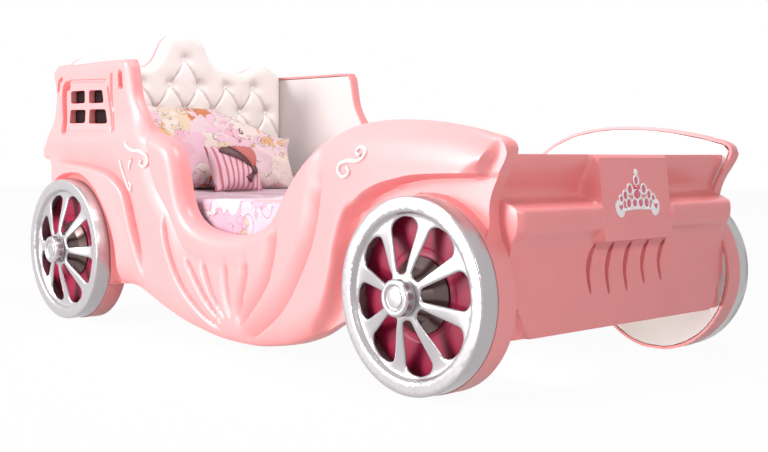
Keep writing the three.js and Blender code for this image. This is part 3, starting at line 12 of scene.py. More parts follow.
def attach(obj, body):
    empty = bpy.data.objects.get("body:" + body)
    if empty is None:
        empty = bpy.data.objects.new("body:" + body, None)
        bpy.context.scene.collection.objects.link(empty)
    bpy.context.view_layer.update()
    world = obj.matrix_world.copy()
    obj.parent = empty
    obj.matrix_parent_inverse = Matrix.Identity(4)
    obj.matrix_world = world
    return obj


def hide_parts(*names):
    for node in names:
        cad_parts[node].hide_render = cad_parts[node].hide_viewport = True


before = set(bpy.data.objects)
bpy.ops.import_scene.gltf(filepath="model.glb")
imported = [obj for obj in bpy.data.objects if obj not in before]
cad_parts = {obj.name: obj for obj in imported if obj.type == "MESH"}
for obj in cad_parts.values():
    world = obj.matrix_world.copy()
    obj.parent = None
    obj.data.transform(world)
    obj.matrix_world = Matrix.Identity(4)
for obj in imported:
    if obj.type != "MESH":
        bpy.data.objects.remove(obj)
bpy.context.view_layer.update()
noise = np.random.default_rng(7)

# Sizes in metres, as on the CAD part
INNER_HALF_WIDTH = 0.47
HALF_LENGTH = 1.121
ROOF = 0.894
WHEEL_RADIUS = 0.244
LOBE_RADIUS = 0.246
LOBE_STEP = 0.004
FRONT_WHEEL_Y = -0.767 * HALF_LENGTH
REAR_WHEEL_Y = 0.777 * HALF_LENGTH
LIP_WIDTH = 0.008
SEAT_DEPTH = 0.0183
EDGE_STAND = 0.027
CABIN_STAND = 0.045
BODY_STAND = 0.066
FENDER_STAND = 0.082
REAR_FENDER_STAND = 0.076
RECESS_STAND = 0.036
LOBE_STAND = 0.062
NOSE_STAND = 0.040
OUTLINE_STEP = 0.008
FILL_STEP = 0.0085
WHEEL_PLACES = [np.array((y, WHEEL_RADIUS)) for y in (FRONT_WHEEL_Y, REAR_WHEEL_Y)]
HANDS = (("left", -1), ("right", 1))

# Camera fitted to the photograph: place, heading east of +Y, tilt, roll, and the lens
CAMERA_PLACE = (-2.5205, -2.8379, 0.598)
CAMERA_HEADING = math.radians(43.18)
CAMERA_TILT = math.radians(-3.781)
CAMERA_ROLL = math.radians(0.3706)
FOCAL_PIXELS = 1153.1
PICTURE_WIDTH = 768
SENSOR_WIDTH = 36


# Shaping
def clamp(value, low=0.0, high=1.0):
    return np.clip(value, low, high)


def mix(start, end, share):
    return start + (end - start) * share


def smooth(share):
    s = clamp(share)
    return s * s * (3 - 2 * s)


def rounded(share):
    """Height of a rounded edge: 0 where it starts, 1 where the round ends."""
    return np.sqrt(1 - (1 - clamp(share)) ** 2)


def valley(distance, width, depth):
    return depth * (1 - clamp(distance / width)) ** 2


def bell(distance, width):
    """A soft ridge, 1 on its line."""
    return np.exp(-((distance / width) ** 2))


# Lines and loops in a plane
def closed(loop):
    return np.vstack([loop, loop[:1]])


def unit(vectors):
    return vectors / np.hypot(*vectors.T)[:, None]


def left_of(vectors):
    """The vectors turned by a quarter turn, anticlockwise."""
    return np.column_stack([-vectors[:, 1], vectors[:, 0]])


def beside(line, distance):
    return line + distance * left_of(unit(np.gradient(line, axis=0)))


def inset(loop, distance):
    """A closed anticlockwise loop moved inwards."""
    before = unit(left_of(loop - np.roll(loop, 1, axis=0)))
    after = unit(left_of(np.roll(loop, -1, axis=0) - loop))
    normal = unit(before + after)
    return loop + normal * distance / np.maximum((normal * after).sum(1), 0.5)[:, None]


def even_steps(line, at, length):
    """The points of a line at some of its running lengths."""
    return np.column_stack([np.interp(at, length, line[:, k]) for k in (0, 1)])


def running_length(line):
    return np.r_[0, np.cumsum(np.hypot(*np.diff(line, axis=0).T))]


def smooth_line(points, step):
    """Points at even steps along the curve that runs through the given ones."""
    p = np.array(points, float)
    ends = np.vstack([p[:1], p, p[-1:]])
    t = np.linspace(0, 1, 12, endpoint=False)[:, None]
    pieces = []
    for a, b, c, d in zip(ends, ends[1:], ends[2:], ends[3:]):
        pieces.append(
            0.5 * (2 * b + (c - a) * t + (2 * a - 5 * b + 4 * c - d) * t**2
                   + (3 * b - a - 3 * c + d) * t**3))
    fine = np.vstack([*pieces, p[-1:]])
    length = running_length(fine)
    at = np.linspace(0, length[-1], max(2, round(length[-1] / step)) + 1)
    return even_steps(fine, at, length)


def oval(centre, radii, count, turn=0.0):
    """A closed anticlockwise loop, turned by an angle."""
    angle = np.arange(count) * 2 * math.pi / count
    a, b = radii[0] * np.cos(angle), radii[1] * np.sin(angle)
    return np.column_stack([centre[0] + a * math.cos(turn) - b * math.sin(turn),
                            centre[1] + a * math.sin(turn) + b * math.cos(turn)])


def circle(centre, radius, count):
    return oval(centre, (radius, radius), count)


def rectangle(half_width, low, high):
    """Corners of an upright rectangle, anticlockwise."""
    return np.array([(-half_width, low), (half_width, low), (half_width, high),
                     (-half_width, high)])


def bend(start, corner, end, steps):
    """Points of a round from one side of a corner to the other."""
    return [(1 - t) ** 2 * start + 2 * t * (1 - t) * corner + t**2 * end
            for t in np.linspace(0, 1, steps)]


def to_line(points, line):
    """Distance from each point to a line, its side (left is positive) and the share along it."""
    best = np.full(len(points), np.inf)
    side = np.zeros(len(points))
    along = np.zeros(len(points))
    for i, (p, q) in enumerate(zip(line, line[1:])):
        d = q - p
        t = clamp((points - p) @ d / (d @ d))
        off = points - p - t[:, None] * d
        distance = np.hypot(off[:, 0], off[:, 1])
        nearer = distance < best
        best[nearer] = distance[nearer]
        side[nearer] = np.sign(d[0] * off[:, 1] - d[1] * off[:, 0])[nearer]
        along[nearer] = (i + t[nearer]) / (len(line) - 1)
    return best, side, along


def from_point(points, place):
    return np.hypot(*(points - place).T)


def inside(points, loop):
    result = np.zeros(len(points), bool)
    for (ax, ay), (bx, by) in zip(loop, np.roll(loop, -1, axis=0)):
        if ay == by:
            continue
        crosses = (ay > points[:, 1]) != (by > points[:, 1])
        where = (bx - ax) * (points[:, 1] - ay) / (by - ay) + ax
        result ^= crosses & (points[:, 0] < where)
    return result


# Point sets of a relief
def cell_of(point, size):
    return int(point[0] // size), int(point[1] // size)


def gaps_around(point, cells, size):
    """Distances from a point to those filed in its own cell and the eight around it."""
    i, j = cell_of(point, size)
    return (math.hypot(point[0] - q[0], point[1] - q[1])
            for a in (-1, 0, 1) for b in (-1, 0, 1) for q in cells.get((i + a, j + b), ()))


def away_from(points, others, gap):
    """The points that are further than the gap from all the others."""
    cells = {}
    for p in others:
        cells.setdefault(cell_of(p, gap), []).append(p)
    return np.array([p for p in points if all(d > gap for d in gaps_around(p, cells, gap))])


def thin_out(points, gap):
    """The points without those that come within a gap of an earlier one."""
    cells, kept = {}, []
    for p in points:
        if all(d >= gap for d in gaps_around(p, cells, gap)):
            cells.setdefault(cell_of(p, gap), []).append(p)
            kept.append(p)
    return np.array(kept)


def fill_points(loop, step, clear=0.6):
    """Points on a triangular grid inside a loop, clear of its edge."""
    low, high = loop.min(axis=0), loop.max(axis=0)
    rows = []
    for i, up in enumerate(np.arange(low[1], high[1], step * math.sqrt(3) / 2)):
        across = np.arange(low[0] + (i % 2) * step / 2, high[0], step)
        rows.append(np.column_stack([across, np.full(len(across), up)]))
    grid = np.vstack(rows)
    grid = grid[inside(grid, loop)]
    return grid[to_line(grid, closed(loop))[0] > clear * step]


def filled(loop, special, step, gap):
    """The special points and a grid that fills the rest of the loop, a gap away from them."""
    return np.vstack([special, away_from(fill_points(loop, step), special, gap)])


def triangulate(loops, inner=np.zeros((0, 2))):
    """Triangles over the first loop, open inside the other loops, that use the inner points.

    Returns the points, the triangles and, for each loop, the numbers of its points.
    """
    given = np.vstack([*loops, inner])
    edges, rows = [], []
    start = 0
    for loop in loops:
        count = len(loop)
        edges += [(start + i, start + (i + 1) % count) for i in range(count)]
        rows.append(range(start, start + count))
        start += count
    verts, _, faces, sources, *_ = delaunay_2d_cdt([Vector(p) for p in given], edges, [], 0, 1e-6)
    place = {source: i for i, group in enumerate(sources) for source in group}
    points = np.array([given[group[0]] if group else tuple(v)
                       for v, group in zip(verts, sources)])
    faces = np.array([f for f in faces if len(f) == 3])
    middle = points[faces].mean(axis=1)
    keep = inside(middle, loops[0])
    for loop in loops[1:]:
        keep &= ~inside(middle, loop)
    return points, faces[keep], [[place[i] for i in row] for row in rows]


# Meshes
def at_height(loop, up):
    return np.column_stack([loop, np.broadcast_to(up, len(loop))])


def facing_out(verts, faces):
    """Faces turned so that the closed mesh has a positive volume."""
    a, b, c = (verts[faces[:, k]] for k in range(3))
    if (a * np.cross(b, c)).sum() < 0:
        return faces[:, ::-1]
    return faces


def strip(upper, lower, turn=1):
    """Triangles between two rows of as many points; a turn of -1 faces them the other way."""
    faces = []
    for a, b, c, d in zip(upper, upper[1:], lower, lower[1:]):
        faces += [(a, c, b)[::turn], (b, c, d)[::turn]]
    return faces


def wall(upper, lower, turn=1):
    """The triangles between two rows that close on themselves."""
    return strip([*upper, upper[0]], [*lower, lower[0]], turn)


def fan(middle, row, turn=1):
    """Triangles from one point to a row that closes on itself."""
    return [(middle, a, b)[::turn] for a, b in zip(row, [*row[1:], row[0]])]


def rows_of(count, length):
    """The numbers of the points in each of several rows of one length."""
    return [range(k * length, (k + 1) * length) for k in range(count)]


def loft(rings):
    """A closed form through rings of equal count, each an array of 3-D points."""
    rows = rows_of(len(rings), len(rings[0]))
    verts = np.vstack([*rings, rings[0].mean(axis=0), rings[-1].mean(axis=0)])
    faces = fan(len(verts) - 2, rows[0], -1) + fan(len(verts) - 1, rows[-1])
    for low, high in zip(rows, rows[1:]):
        faces += wall(low, high, -1)
    return verts, facing_out(verts, np.array(faces))


def hose(rows_along, join):
    """Side faces of a tube given as rows of points that run along it."""
    rows = rows_of(len(rows_along), len(rows_along[0]))
    return [face for low, high in zip(rows, [*rows[1:], rows[0]]) for face in join(low, high, -1)]


def tube(line, radius, sections=8, endless=True):
    """A round cord of a seam along a line of 3-D points."""
    ahead = np.roll(line, -1, axis=0) - np.roll(line, 1, axis=0)
    if not endless:
        ahead[0], ahead[-1] = line[1] - line[0], line[-1] - line[-2]
    ahead /= np.linalg.norm(ahead, axis=1)[:, None]
    up = np.cross(ahead, (0.0, 0.0, 1.0))
    up[np.linalg.norm(up, axis=1) < 1e-6] = (1, 0, 0)
    up /= np.linalg.norm(up, axis=1)[:, None]
    across = np.cross(ahead, up)
    verts = [line + radius * (math.cos(a) * up + math.sin(a) * across)
             for a in np.arange(sections) * 2 * math.pi / sections]
    faces = hose(verts, wall if endless else strip)
    if not endless:
        for i, turn in ((0, 1), (len(line) - 1, -1)):
            row = [k * len(line) + i for k in range(sections)]
            faces += [(row[0], a, b)[::turn] for a, b in zip(row[1:], row[2:])]
    verts = np.vstack(verts)
    return verts, facing_out(verts, np.array(faces))


def lathe(profile, steps):
    """A closed turned solid from (radius, height) points that start and end on the axis."""
    verts, rings = [], []
    for radius, height in profile:
        if radius == 0:
            rings.append([len(verts)])
            verts.append((0, 0, height))
            continue
        rings.append(range(len(verts), len(verts) + steps))
        verts += [(x, y, height) for x, y in circle((0, 0), radius, steps)]
    faces = []
    for low, high in zip(rings, rings[1:]):
        if len(low) == 1:
            faces += fan(low[0], high, -1)
        elif len(high) == 1:
            faces += fan(high[0], low)
        else:
            faces += wall(low, high, -1)
    verts = np.array(verts)
    return verts, facing_out(verts, np.array(faces))


def rounded_profile(points, radius, steps=4):
    """A profile whose inner corners are rounded, its ends kept."""
    p = np.array(points, float)
    result = [p[0]]
    for before, corner, after in zip(p, p[1:], p[2:]):
        a, b = before - corner, after - corner
        reach = min(radius, np.hypot(*a) / 2.01, np.hypot(*b) / 2.01)
        result += bend(corner + a / np.hypot(*a) * reach, corner,
                       corner + b / np.hypot(*b) * reach, steps)
    return [*result, p[-1]]


def joined(meshes):
    """Several meshes as one."""
    verts, faces, start = [], [], 0
    for v, f in meshes:
        verts.append(v)
        faces += (np.array(f) + start).tolist()
        start += len(v)
    return np.vstack(verts), np.array(faces)


def relief_mesh(loop, holes, inner, stand, seat, lip=0.0):
    """A closed panel with a shaped front; its lip, if any, folds back round the board."""
    points, front_faces, tops = triangulate([loop, *holes], inner)
    verts = [np.column_stack([points, stand(points)])]
    faces, floors = front_faces.tolist(), []
    start = len(points)
    for n, (ring, top) in enumerate(zip([loop, *holes], tops)):
        outlines = [(ring, seat)]
        if lip and n == 0:
            pocket = inset(ring, lip)
            outlines = [(ring, 0.0), (pocket, 0.0), (pocket, seat)]
        for outline, height in outlines:
            verts.append(at_height(outline, height))
            low = range(start, start + len(ring))
            faces += wall(top, low, 1 if n == 0 else -1)
            top = low
            start += len(ring)
        floors.append((outlines[-1][0], top))
    _, floor_faces, floor_rows = triangulate([outline for outline, _ in floors])
    places = {i: j for (_, row), found in zip(floors, floor_rows) for i, j in zip(found, row)}
    faces += [[places[i] for i in face][::-1] for face in floor_faces]
    return np.vstack(verts), np.array(faces)


# Objects
def make_object(name, verts, faces, material, smooth_angle):
    mesh = bpy.data.meshes.new(name)
    mesh.from_pydata([tuple(v) for v in verts], [], [tuple(int(i) for i in f) for f in faces])
    mesh.update()
    mesh.shade_smooth()
    mesh.set_sharp_from_angle(angle=math.radians(smooth_angle))
    mesh.materials.append(material)
    piece = bpy.data.objects.new(name, mesh)
    bpy.context.collection.objects.link(piece)
    return piece


def dress(piece, nodes=()):
    """The piece rides on the frame and stands for CAD nodes, which it hides."""
    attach(piece, "root")
    if nodes:
        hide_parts(*nodes)


def add_piece(name, verts, faces, material, slot, nodes=(), smooth_angle=38):
    """A closed mesh as a piece of the bed."""
    piece = make_object(name, verts, facing_out(verts, faces), material, smooth_angle)
    dress(piece, nodes)
    return piece


def side_frame(sign):
    """From a side panel's own axes, along, up and out, to the bed's."""
    return lambda p: np.column_stack([sign * (INNER_HALF_WIDTH + p[:, 2]), p[:, 0], p[:, 1]])


def end_frame(points, base):
    """From an end panel's own axes, across, up and out towards the foot, to the bed's."""
    return np.column_stack([points[:, 0], base - points[:, 2], points[:, 1]])


# Side panel: its outline, foot end first, as shares of the half length and the roof height
FRONT_TOP = [(-0.986, 0.673), (-0.980, 0.690), (-0.962, 0.703), (-0.93, 0.713), (-0.88, 0.727),
             (-0.78, 0.746), (-0.69, 0.754), (-0.61, 0.753), (-0.535, 0.743), (-0.47, 0.724),
             (-0.412, 0.695)]
DIP = [(-0.412, 0.695), (-0.355, 0.648), (-0.305, 0.595), (-0.262, 0.533), (-0.228, 0.474),
       (-0.185, 0.427), (-0.125, 0.396), (-0.05, 0.383), (0.02, 0.383), (0.085, 0.392),
       (0.138, 0.415), (0.172, 0.45), (0.196, 0.51), (0.214, 0.588), (0.232, 0.645),
       (0.258, 0.682), (0.308, 0.708), (0.362, 0.728), (0.402, 0.761), (0.437, 0.812),
       (0.460, 0.862), (0.472, 0.92), (0.481, 0.972)]
ROOF_EDGE = [(0.481, 0.972), (0.492, 0.993), (0.512, 1), (0.7, 1), (0.905, 1), (0.935, 0.992),
             (0.951, 0.975), (0.953, 0.948)]
REAR = [(0.953, 0.948), (0.942, 0.918), (0.939, 0.872), (0.944, 0.828), (0.957, 0.775),
        (0.972, 0.73), (0.984, 0.692), (0.996, 0.68), (1, 0.665), (1, 0.635), (0.992, 0.62),
        (0.968, 0.613), (0.949, 0.604), (0.941, 0.578), (0.936, 0.535)]
BELLY = [(0.535, 0.158), (0.485, 0.16), (0.44, 0.155), (0.39, 0.136), (0.33, 0.109),
         (0.26, 0.083), (0.19, 0.06), (0.11, 0.042), (0.02, 0.027), (-0.07, 0.0235),
         (-0.14, 0.026), (-0.21, 0.037), (-0.3, 0.058), (-0.385, 0.094), (-0.45, 0.138),
         (-0.497, 0.166), (-0.53, 0.182)]
NOSE = [(-0.937, 0.475), (-0.936, 0.525), (-0.945, 0.567), (-0.963, 0.61), (-0.981, 0.648),
        (-0.986, 0.673)]
REAR_LOBE_ANGLES = (44, -154)
FRONT_LOBE_ANGLES = (-18, -216)
LOBE_MARGIN = 0.006
CURVE_STEP = 0.01

# Creases of the side panel
RIM_LINE = [(0.474, 0.965), (0.465, 0.885), (0.437, 0.812), (0.392, 0.744), (0.357, 0.66),
            (0.343, 0.582), (0.308, 0.509), (0.262, 0.451), (0.219, 0.383), (0.169, 0.321),
            (0.078, 0.29), (-0.036, 0.285), (-0.121, 0.303)]
REAR_VALLEY = [(0.95, 0.625), (0.883, 0.622), (0.785, 0.614), (0.695, 0.605), (0.59, 0.583),
               (0.514, 0.536), (0.477, 0.481), (0.442, 0.378), (0.407, 0.285), (0.379, 0.213),
               (0.35, 0.15)]
PLEATS = [
    [(0.273, 0.444), (0.255, 0.329), (0.191, 0.204), (0.079, 0.103), (-0.01, 0.056)],
    [(0.162, 0.296), (0.105, 0.213), (0.064, 0.159), (0.018, 0.111), (-0.021, 0.068)],
    [(0.078, 0.29), (0.038, 0.191), (0.004, 0.136), (-0.029, 0.093), (-0.045, 0.06)],
    [(-0.032, 0.29), (-0.038, 0.219), (-0.048, 0.153), (-0.051, 0.102), (-0.052, 0.06)],
    [(-0.121, 0.305), (-0.121, 0.256), (-0.105, 0.194), (-0.087, 0.134), (-0.062, 0.066)],
    [(-0.246, 0.409), (-0.239, 0.356), (-0.216, 0.266), (-0.179, 0.198), (-0.1, 0.097)],
    [(-0.423, 0.56), (-0.403, 0.434), (-0.371, 0.345), (-0.275, 0.173), (-0.14, 0.062)],
]
PLEAT_DEPTHS = [0.014, 0.013, 0.015, 0.017, 0.018, 0.022, 0.028]
PLEAT_HEAD_WIDTHS = [0.016, 0.018, 0.030, 0.040, 0.046, 0.060, 0.075]
PLEAT_FOOT_WIDTHS = [0.044, 0.030, 0.024, 0.012, 0.012, 0.012, 0.014]
PLEAT_FADE = 0.12
PLEAT_TOP_SHARE = 0.12
FRONT_LIP = [(-0.365, 0.085), (-0.398, 0.15), (-0.43, 0.198), (-0.451, 0.257), (-0.467, 0.319),
             (-0.482, 0.397), (-0.516, 0.492), (-0.554, 0.523), (-0.588, 0.551), (-0.637, 0.575),
             (-0.687, 0.589), (-0.741, 0.601), (-0.802, 0.606), (-0.875, 0.609), (-0.96, 0.61)]
REAR_LIP = [(0.945, 0.455), (0.88, 0.545), (0.79, 0.572), (0.705, 0.56), (0.625, 0.5),
            (0.57, 0.42), (0.535, 0.345), (0.517, 0.27), (0.512, 0.2), (0.512, 0.15)]
SCOOP_EDGE = [(-0.963, 0.672), (-0.942, 0.598)]
SCOOP_TOP = [(-0.88, 0.618), (-0.93, 0.645), (-0.97, 0.676)]
GROOVES = [
    [(0.848, 0.914), (0.863, 0.911), (0.871, 0.88), (0.872, 0.83), (0.869, 0.78),
     (0.862, 0.744)],
    [(0.577, 0.94), (0.577, 0.88), (0.573, 0.82), (0.556, 0.735)],
    [(0.837, 0.932), (0.72, 0.929), (0.614, 0.925)],
    [(0.529, 0.943), (0.528, 0.925), (0.526, 0.905)],
    [(0.60, 0.90), (0.588, 0.83), (0.566, 0.74)],
    [(0.86, 0.727), (0.7, 0.725), (0.6, 0.722)],
    [(0.889, 0.943), (0.905, 0.932), (0.911, 0.90)],
]
GROOVE_DEPTHS = [0.026, 0.007, 0.006, 0.022, 0.005, 0.003, 0.010]
GROOVE_WIDTHS = [0.0175, 0.012, 0.006, 0.014, 0.006, 0.010, 0.008]
GROOVE_FLOOR = 0.5
RIM_DEPTHS = [0.0, 0.005, 0.006, 0.013, 0.014, 0.009, 0.003, 0.002, 0.0]
RIM_BODY_WIDTH = 0.055
RIM_BAND_WIDTH = 0.015
REAR_VALLEY_DEPTH = 0.024
REAR_VALLEY_BODY_WIDTH = 0.018
REAR_VALLEY_BAND_WIDTH = 0.085
SCOOP_DEPTH = 0.036
SCOOP_LENGTH = 0.085
SCOOP_HEIGHT = 0.020
NOSE_STRIP_WIDTH = 0.022
LIP_STEP_START = 0.054
LIP_STEP_END = 0.010
REAR_LIP_STEP = 0.009
REAR_RECESS_ROOM = 0.024
FLARE_TOP = 0.8 * ROOF
FLARE_HEIGHT = 0.11
FENDER_REACH = 0.095
REAR_FENDER_REACH = 0.06
EDGE_WIDTHS = {"front_top": 0.112, "dip": 0.042, "roof": 0.026, "rear": 0.026, "belly": 0.084}
PLEAT_TOP_STRENGTH = 0.4
REAR_VALLEY_FADES = (5, 4)
LIP_STEP_PACE = 1.2
PANES = [
    [(0.74, 0.843), (0.829, 0.843), (0.829, 0.893), (0.74, 0.893)],
    [(0.625, 0.841), (0.715, 0.841), (0.715, 0.892), (0.633, 0.891)],
    [(0.736, 0.765), (0.836, 0.765), (0.834, 0.82), (0.736, 0.818)],
    [(0.598, 0.761), (0.713, 0.763), (0.713, 0.819), (0.615, 0.817)],
]
PANE_CORNER = 0.16
PANE_MARGIN = 0.002

# Rows of points that the side panel's mesh follows along its steps and creases
LOBE_RING_POINTS = 190
LIP_ROWS = [0.0, 0.004, 0.008, 0.013, 0.019, 0.026, 0.034, 0.042, LIP_STEP_START]
REAR_LIP_ROWS = [0.0, 0.003, 0.006, REAR_LIP_STEP]
GROOVE_ROWS = [-1, -0.75, -GROOVE_FLOOR, 0, GROOVE_FLOOR, 0.75, 1]
EDGE_ROWS = [0.04, 0.1]
LIP_POINT_STEP = 0.004
CREASE_POINT_STEP = 0.005
EDGE_CLEARANCE = 0.0008
SIDE_POINT_GAP = 0.0022
SIDE_FILL_GAP = 0.55 * FILL_STEP


def side_points(shares):
    return np.array(shares) * (HALF_LENGTH, ROOF)


def clear_of_lobes(line, margin):
    line = line.copy()
    for place in WHEEL_PLACES:
        off = line - place
        away = np.hypot(off[:, 0], off[:, 1])
        near = away < LOBE_RADIUS + margin
        scale = (LOBE_RADIUS + margin) / away[near]
        line[near] = place + off[near] * scale[:, None]
    return line


def lobe_arc(place, angles):
    """The part of a lobe's edge between two angles, clockwise, flat where it meets the floor."""
    flat = math.degrees(math.acos(WHEEL_RADIUS / LOBE_RADIUS))
    arcs = []
    for start, end in ((angles[0], -90 + flat), (-90 - flat, angles[1])):
        steps = math.ceil(math.radians(start - end) * LOBE_RADIUS / OUTLINE_STEP)
        turn = np.radians(np.linspace(start, end, steps + 1))
        arcs.append(np.column_stack([place + LOBE_RADIUS * np.cos(turn),
                                     WHEEL_RADIUS + LOBE_RADIUS * np.sin(turn)]))
    line = np.vstack(arcs)
    line[:, 1] = np.maximum(line[:, 1], 0)
    return line


def edge_line(shares):
    return clear_of_lobes(smooth_line(side_points(shares), OUTLINE_STEP), LOBE_MARGIN)


def crease(shares):
    return smooth_line(side_points(shares), CURVE_STEP)


EDGES = {"front_top": edge_line(FRONT_TOP), "dip": edge_line(DIP), "roof": edge_line(ROOF_EDGE),
         "rear": edge_line(REAR), "belly": edge_line(BELLY)}
NOSE_LINE = edge_line(NOSE)
RIM_VALLEY = crease(RIM_LINE)
REAR_CREASE = crease(REAR_VALLEY)
PLEAT_LINES = [crease(line) for line in PLEATS]
PLEAT_FOOT = PLEAT_LINES[3][-1]
FRONT_LIP_LINE = clear_of_lobes(crease(FRONT_LIP), 3 * LOBE_MARGIN)
REAR_LIP_LINE = clear_of_lobes(crease(REAR_LIP), 2 * LOBE_MARGIN)
SCOOP_EDGE_LINE = side_points(SCOOP_EDGE)
SCOOP_TOP_LINE = side_points(SCOOP_TOP)
GROOVE_LINES = [crease(line) for line in GROOVES]
FAR = 2 * HALF_LENGTH
FRONT_ARCH = np.vstack([FRONT_LIP_LINE, (-FAR, FRONT_LIP_LINE[-1, 1]), (-FAR, -FAR),
                        (FRONT_LIP_LINE[0, 0], -FAR)])
REAR_ARCH = np.vstack([REAR_LIP_LINE, (REAR_LIP_LINE[-1, 0], -FAR), (FAR, -FAR),
                       (FAR, REAR_LIP_LINE[0, 1])])


def side_outline():
    clockwise = np.vstack([
        *[EDGES[name][1:] for name in ("front_top", "dip", "roof", "rear")],
        lobe_arc(REAR_WHEEL_Y, REAR_LOBE_ANGLES), EDGES["belly"],
        lobe_arc(FRONT_WHEEL_Y, FRONT_LOBE_ANGLES), NOSE_LINE])
    return clockwise[::-1]


def crease_depth(p):
    """Depth of the deepest of the rim's valley, the pleats and the rear valley."""
    distance, side, along = to_line(p, RIM_VALLEY)
    depth = np.interp(along, np.linspace(0, 1, len(RIM_DEPTHS)), RIM_DEPTHS)
    deepest = valley(distance, np.where(side > 0, RIM_BODY_WIDTH, RIM_BAND_WIDTH), depth)
    foot = smooth(from_point(p, PLEAT_FOOT) / PLEAT_FADE)
    sizes = zip(PLEAT_LINES, PLEAT_DEPTHS, PLEAT_HEAD_WIDTHS, PLEAT_FOOT_WIDTHS)
    for line, depth, head_width, foot_width in sizes:
        distance, side, along = to_line(p, line)
        fade = foot * mix(PLEAT_TOP_STRENGTH, 1, smooth(along / PLEAT_TOP_SHARE))
        width = np.where(side > 0, head_width, foot_width)
        deepest = np.maximum(deepest, valley(distance, width, depth * fade))
    distance, side, along = to_line(p, REAR_CREASE)
    width = np.where(side > 0, REAR_VALLEY_BODY_WIDTH, REAR_VALLEY_BAND_WIDTH)
    start, end = REAR_VALLEY_FADES
    fade = smooth((1 - along) * end) * smooth(along * start)
    return np.maximum(deepest, valley(distance, width, REAR_VALLEY_DEPTH * fade))


def scoop_depth(p):
    """Depth of the scoop at the nose: right of its edge and under its top."""
    edge, side, _ = to_line(p, SCOOP_EDGE_LINE)
    under = smooth(to_line(p, SCOOP_TOP_LINE)[0] / SCOOP_HEIGHT)
    below = p[:, 1] < np.interp(p[:, 0], SCOOP_TOP_LINE[::-1, 0], SCOOP_TOP_LINE[::-1, 1])
    return valley(edge, SCOOP_LENGTH, SCOOP_DEPTH) * under * (below & (side > 0))


def side_stand(p):
    """How far the front of the side panel stands out from its inner face."""
    target = mix(CABIN_STAND, BODY_STAND, smooth((FLARE_TOP - p[:, 1]) / FLARE_HEIGHT))
    lip, _, lip_along = to_line(p, FRONT_LIP_LINE)
    rear_lip = to_line(p, REAR_LIP_LINE)[0]
    target = mix(target, FENDER_STAND, bell(lip, FENDER_REACH))
    target = mix(target, REAR_FENDER_STAND, bell(rear_lip, REAR_FENDER_REACH))
    target = target - crease_depth(p)
    for line, depth, width in zip(GROOVE_LINES, GROOVE_DEPTHS, GROOVE_WIDTHS):
        share = to_line(p, line)[0] / width
        target = target - depth * (1 - smooth((share - GROOVE_FLOOR) / (1 - GROOVE_FLOOR)))
    target = target - scoop_depth(p)
    rounds = [rounded(to_line(p, EDGES[name])[0] / width) for name, width in EDGE_WIDTHS.items()]
    edge = mix(EDGE_STAND, target, np.min(rounds, axis=0))
    nose = to_line(p, NOSE_LINE)[0]
    strip_share = smooth((NOSE_STRIP_WIDTH * 2 - nose) / NOSE_STRIP_WIDTH)
    stand = mix(edge, np.minimum(edge, NOSE_STAND), strip_share)
    width = mix(LIP_STEP_START, LIP_STEP_END, smooth(lip_along * LIP_STEP_PACE))
    stand = mix(stand, RECESS_STAND, smooth(lip / width) * inside(p, FRONT_ARCH))
    room = from_point(p, WHEEL_PLACES[1]) - LOBE_RADIUS
    share = smooth(rear_lip / REAR_LIP_STEP) * smooth(room / REAR_RECESS_ROOM)
    stand = mix(stand, RECESS_STAND, share * inside(p, REAR_ARCH))
    gap = np.min([from_point(p, place) for place in WHEEL_PLACES], axis=0) - LOBE_RADIUS
    return mix(stand, LOBE_STAND, 1 - smooth(gap / LOBE_STEP))


def rounded_corners(corners, share, steps=5):
    """A loop whose corners are rounded over a share of each side."""
    loop = []
    for before, corner, after in zip(np.roll(corners, 1, axis=0), corners,
                                     np.roll(corners, -1, axis=0)):
        loop += bend(mix(corner, before, share), corner, mix(corner, after, share), steps)
    return np.array(loop)


def side_rows(loop):
    """Points along the steps, creases, grooves and rounded edges of the side panel."""
    rows = [circle(place, LOBE_RADIUS + extra, LOBE_RING_POINTS)
            for place in WHEEL_PLACES for extra in (0.0, LOBE_STEP / 2, LOBE_STEP)]
    for lip_line, steps in ((FRONT_LIP_LINE, LIP_ROWS), (REAR_LIP_LINE, REAR_LIP_ROWS)):
        fine = smooth_line(lip_line, LIP_POINT_STEP)
        rows += [beside(fine, step) for step in steps]
    rows += [smooth_line(line, CREASE_POINT_STEP)
             for line in (REAR_CREASE, RIM_VALLEY, *PLEAT_LINES)]
    for line, width in zip(GROOVE_LINES, GROOVE_WIDTHS):
        fine = smooth_line(line, CREASE_POINT_STEP)
        rows += [beside(fine, width * share) for share in GROOVE_ROWS]
    rows.append(SCOOP_EDGE_LINE)
    rows += [beside(EDGES[n], -width * s) for n, width in EDGE_WIDTHS.items() for s in EDGE_ROWS]
    points = np.vstack(rows)
    points = points[inside(points, loop)]
    clear = to_line(points, closed(loop))[0] > EDGE_CLEARANCE
    return thin_out(points[clear], SIDE_POINT_GAP)


def make_side_shells():
    loop = side_outline()
    holes = [rounded_corners(side_points(pane), PANE_CORNER) for pane in PANES]
    inner = filled(loop, side_rows(loop), FILL_STEP, SIDE_FILL_GAP)
    for hole in holes:
        inner = inner[~inside(inner, inset(hole, -PANE_MARGIN))]
    verts, faces = relief_mesh(loop, holes, inner, side_stand, SEAT_DEPTH, LIP_WIDTH)
    for hand, sign in HANDS:
        add_piece(f"moulded_side_{hand}", side_frame(sign)(verts), faces, SIDE_PINK,
                  "pink_shell", [f"side_shell_{hand}"])


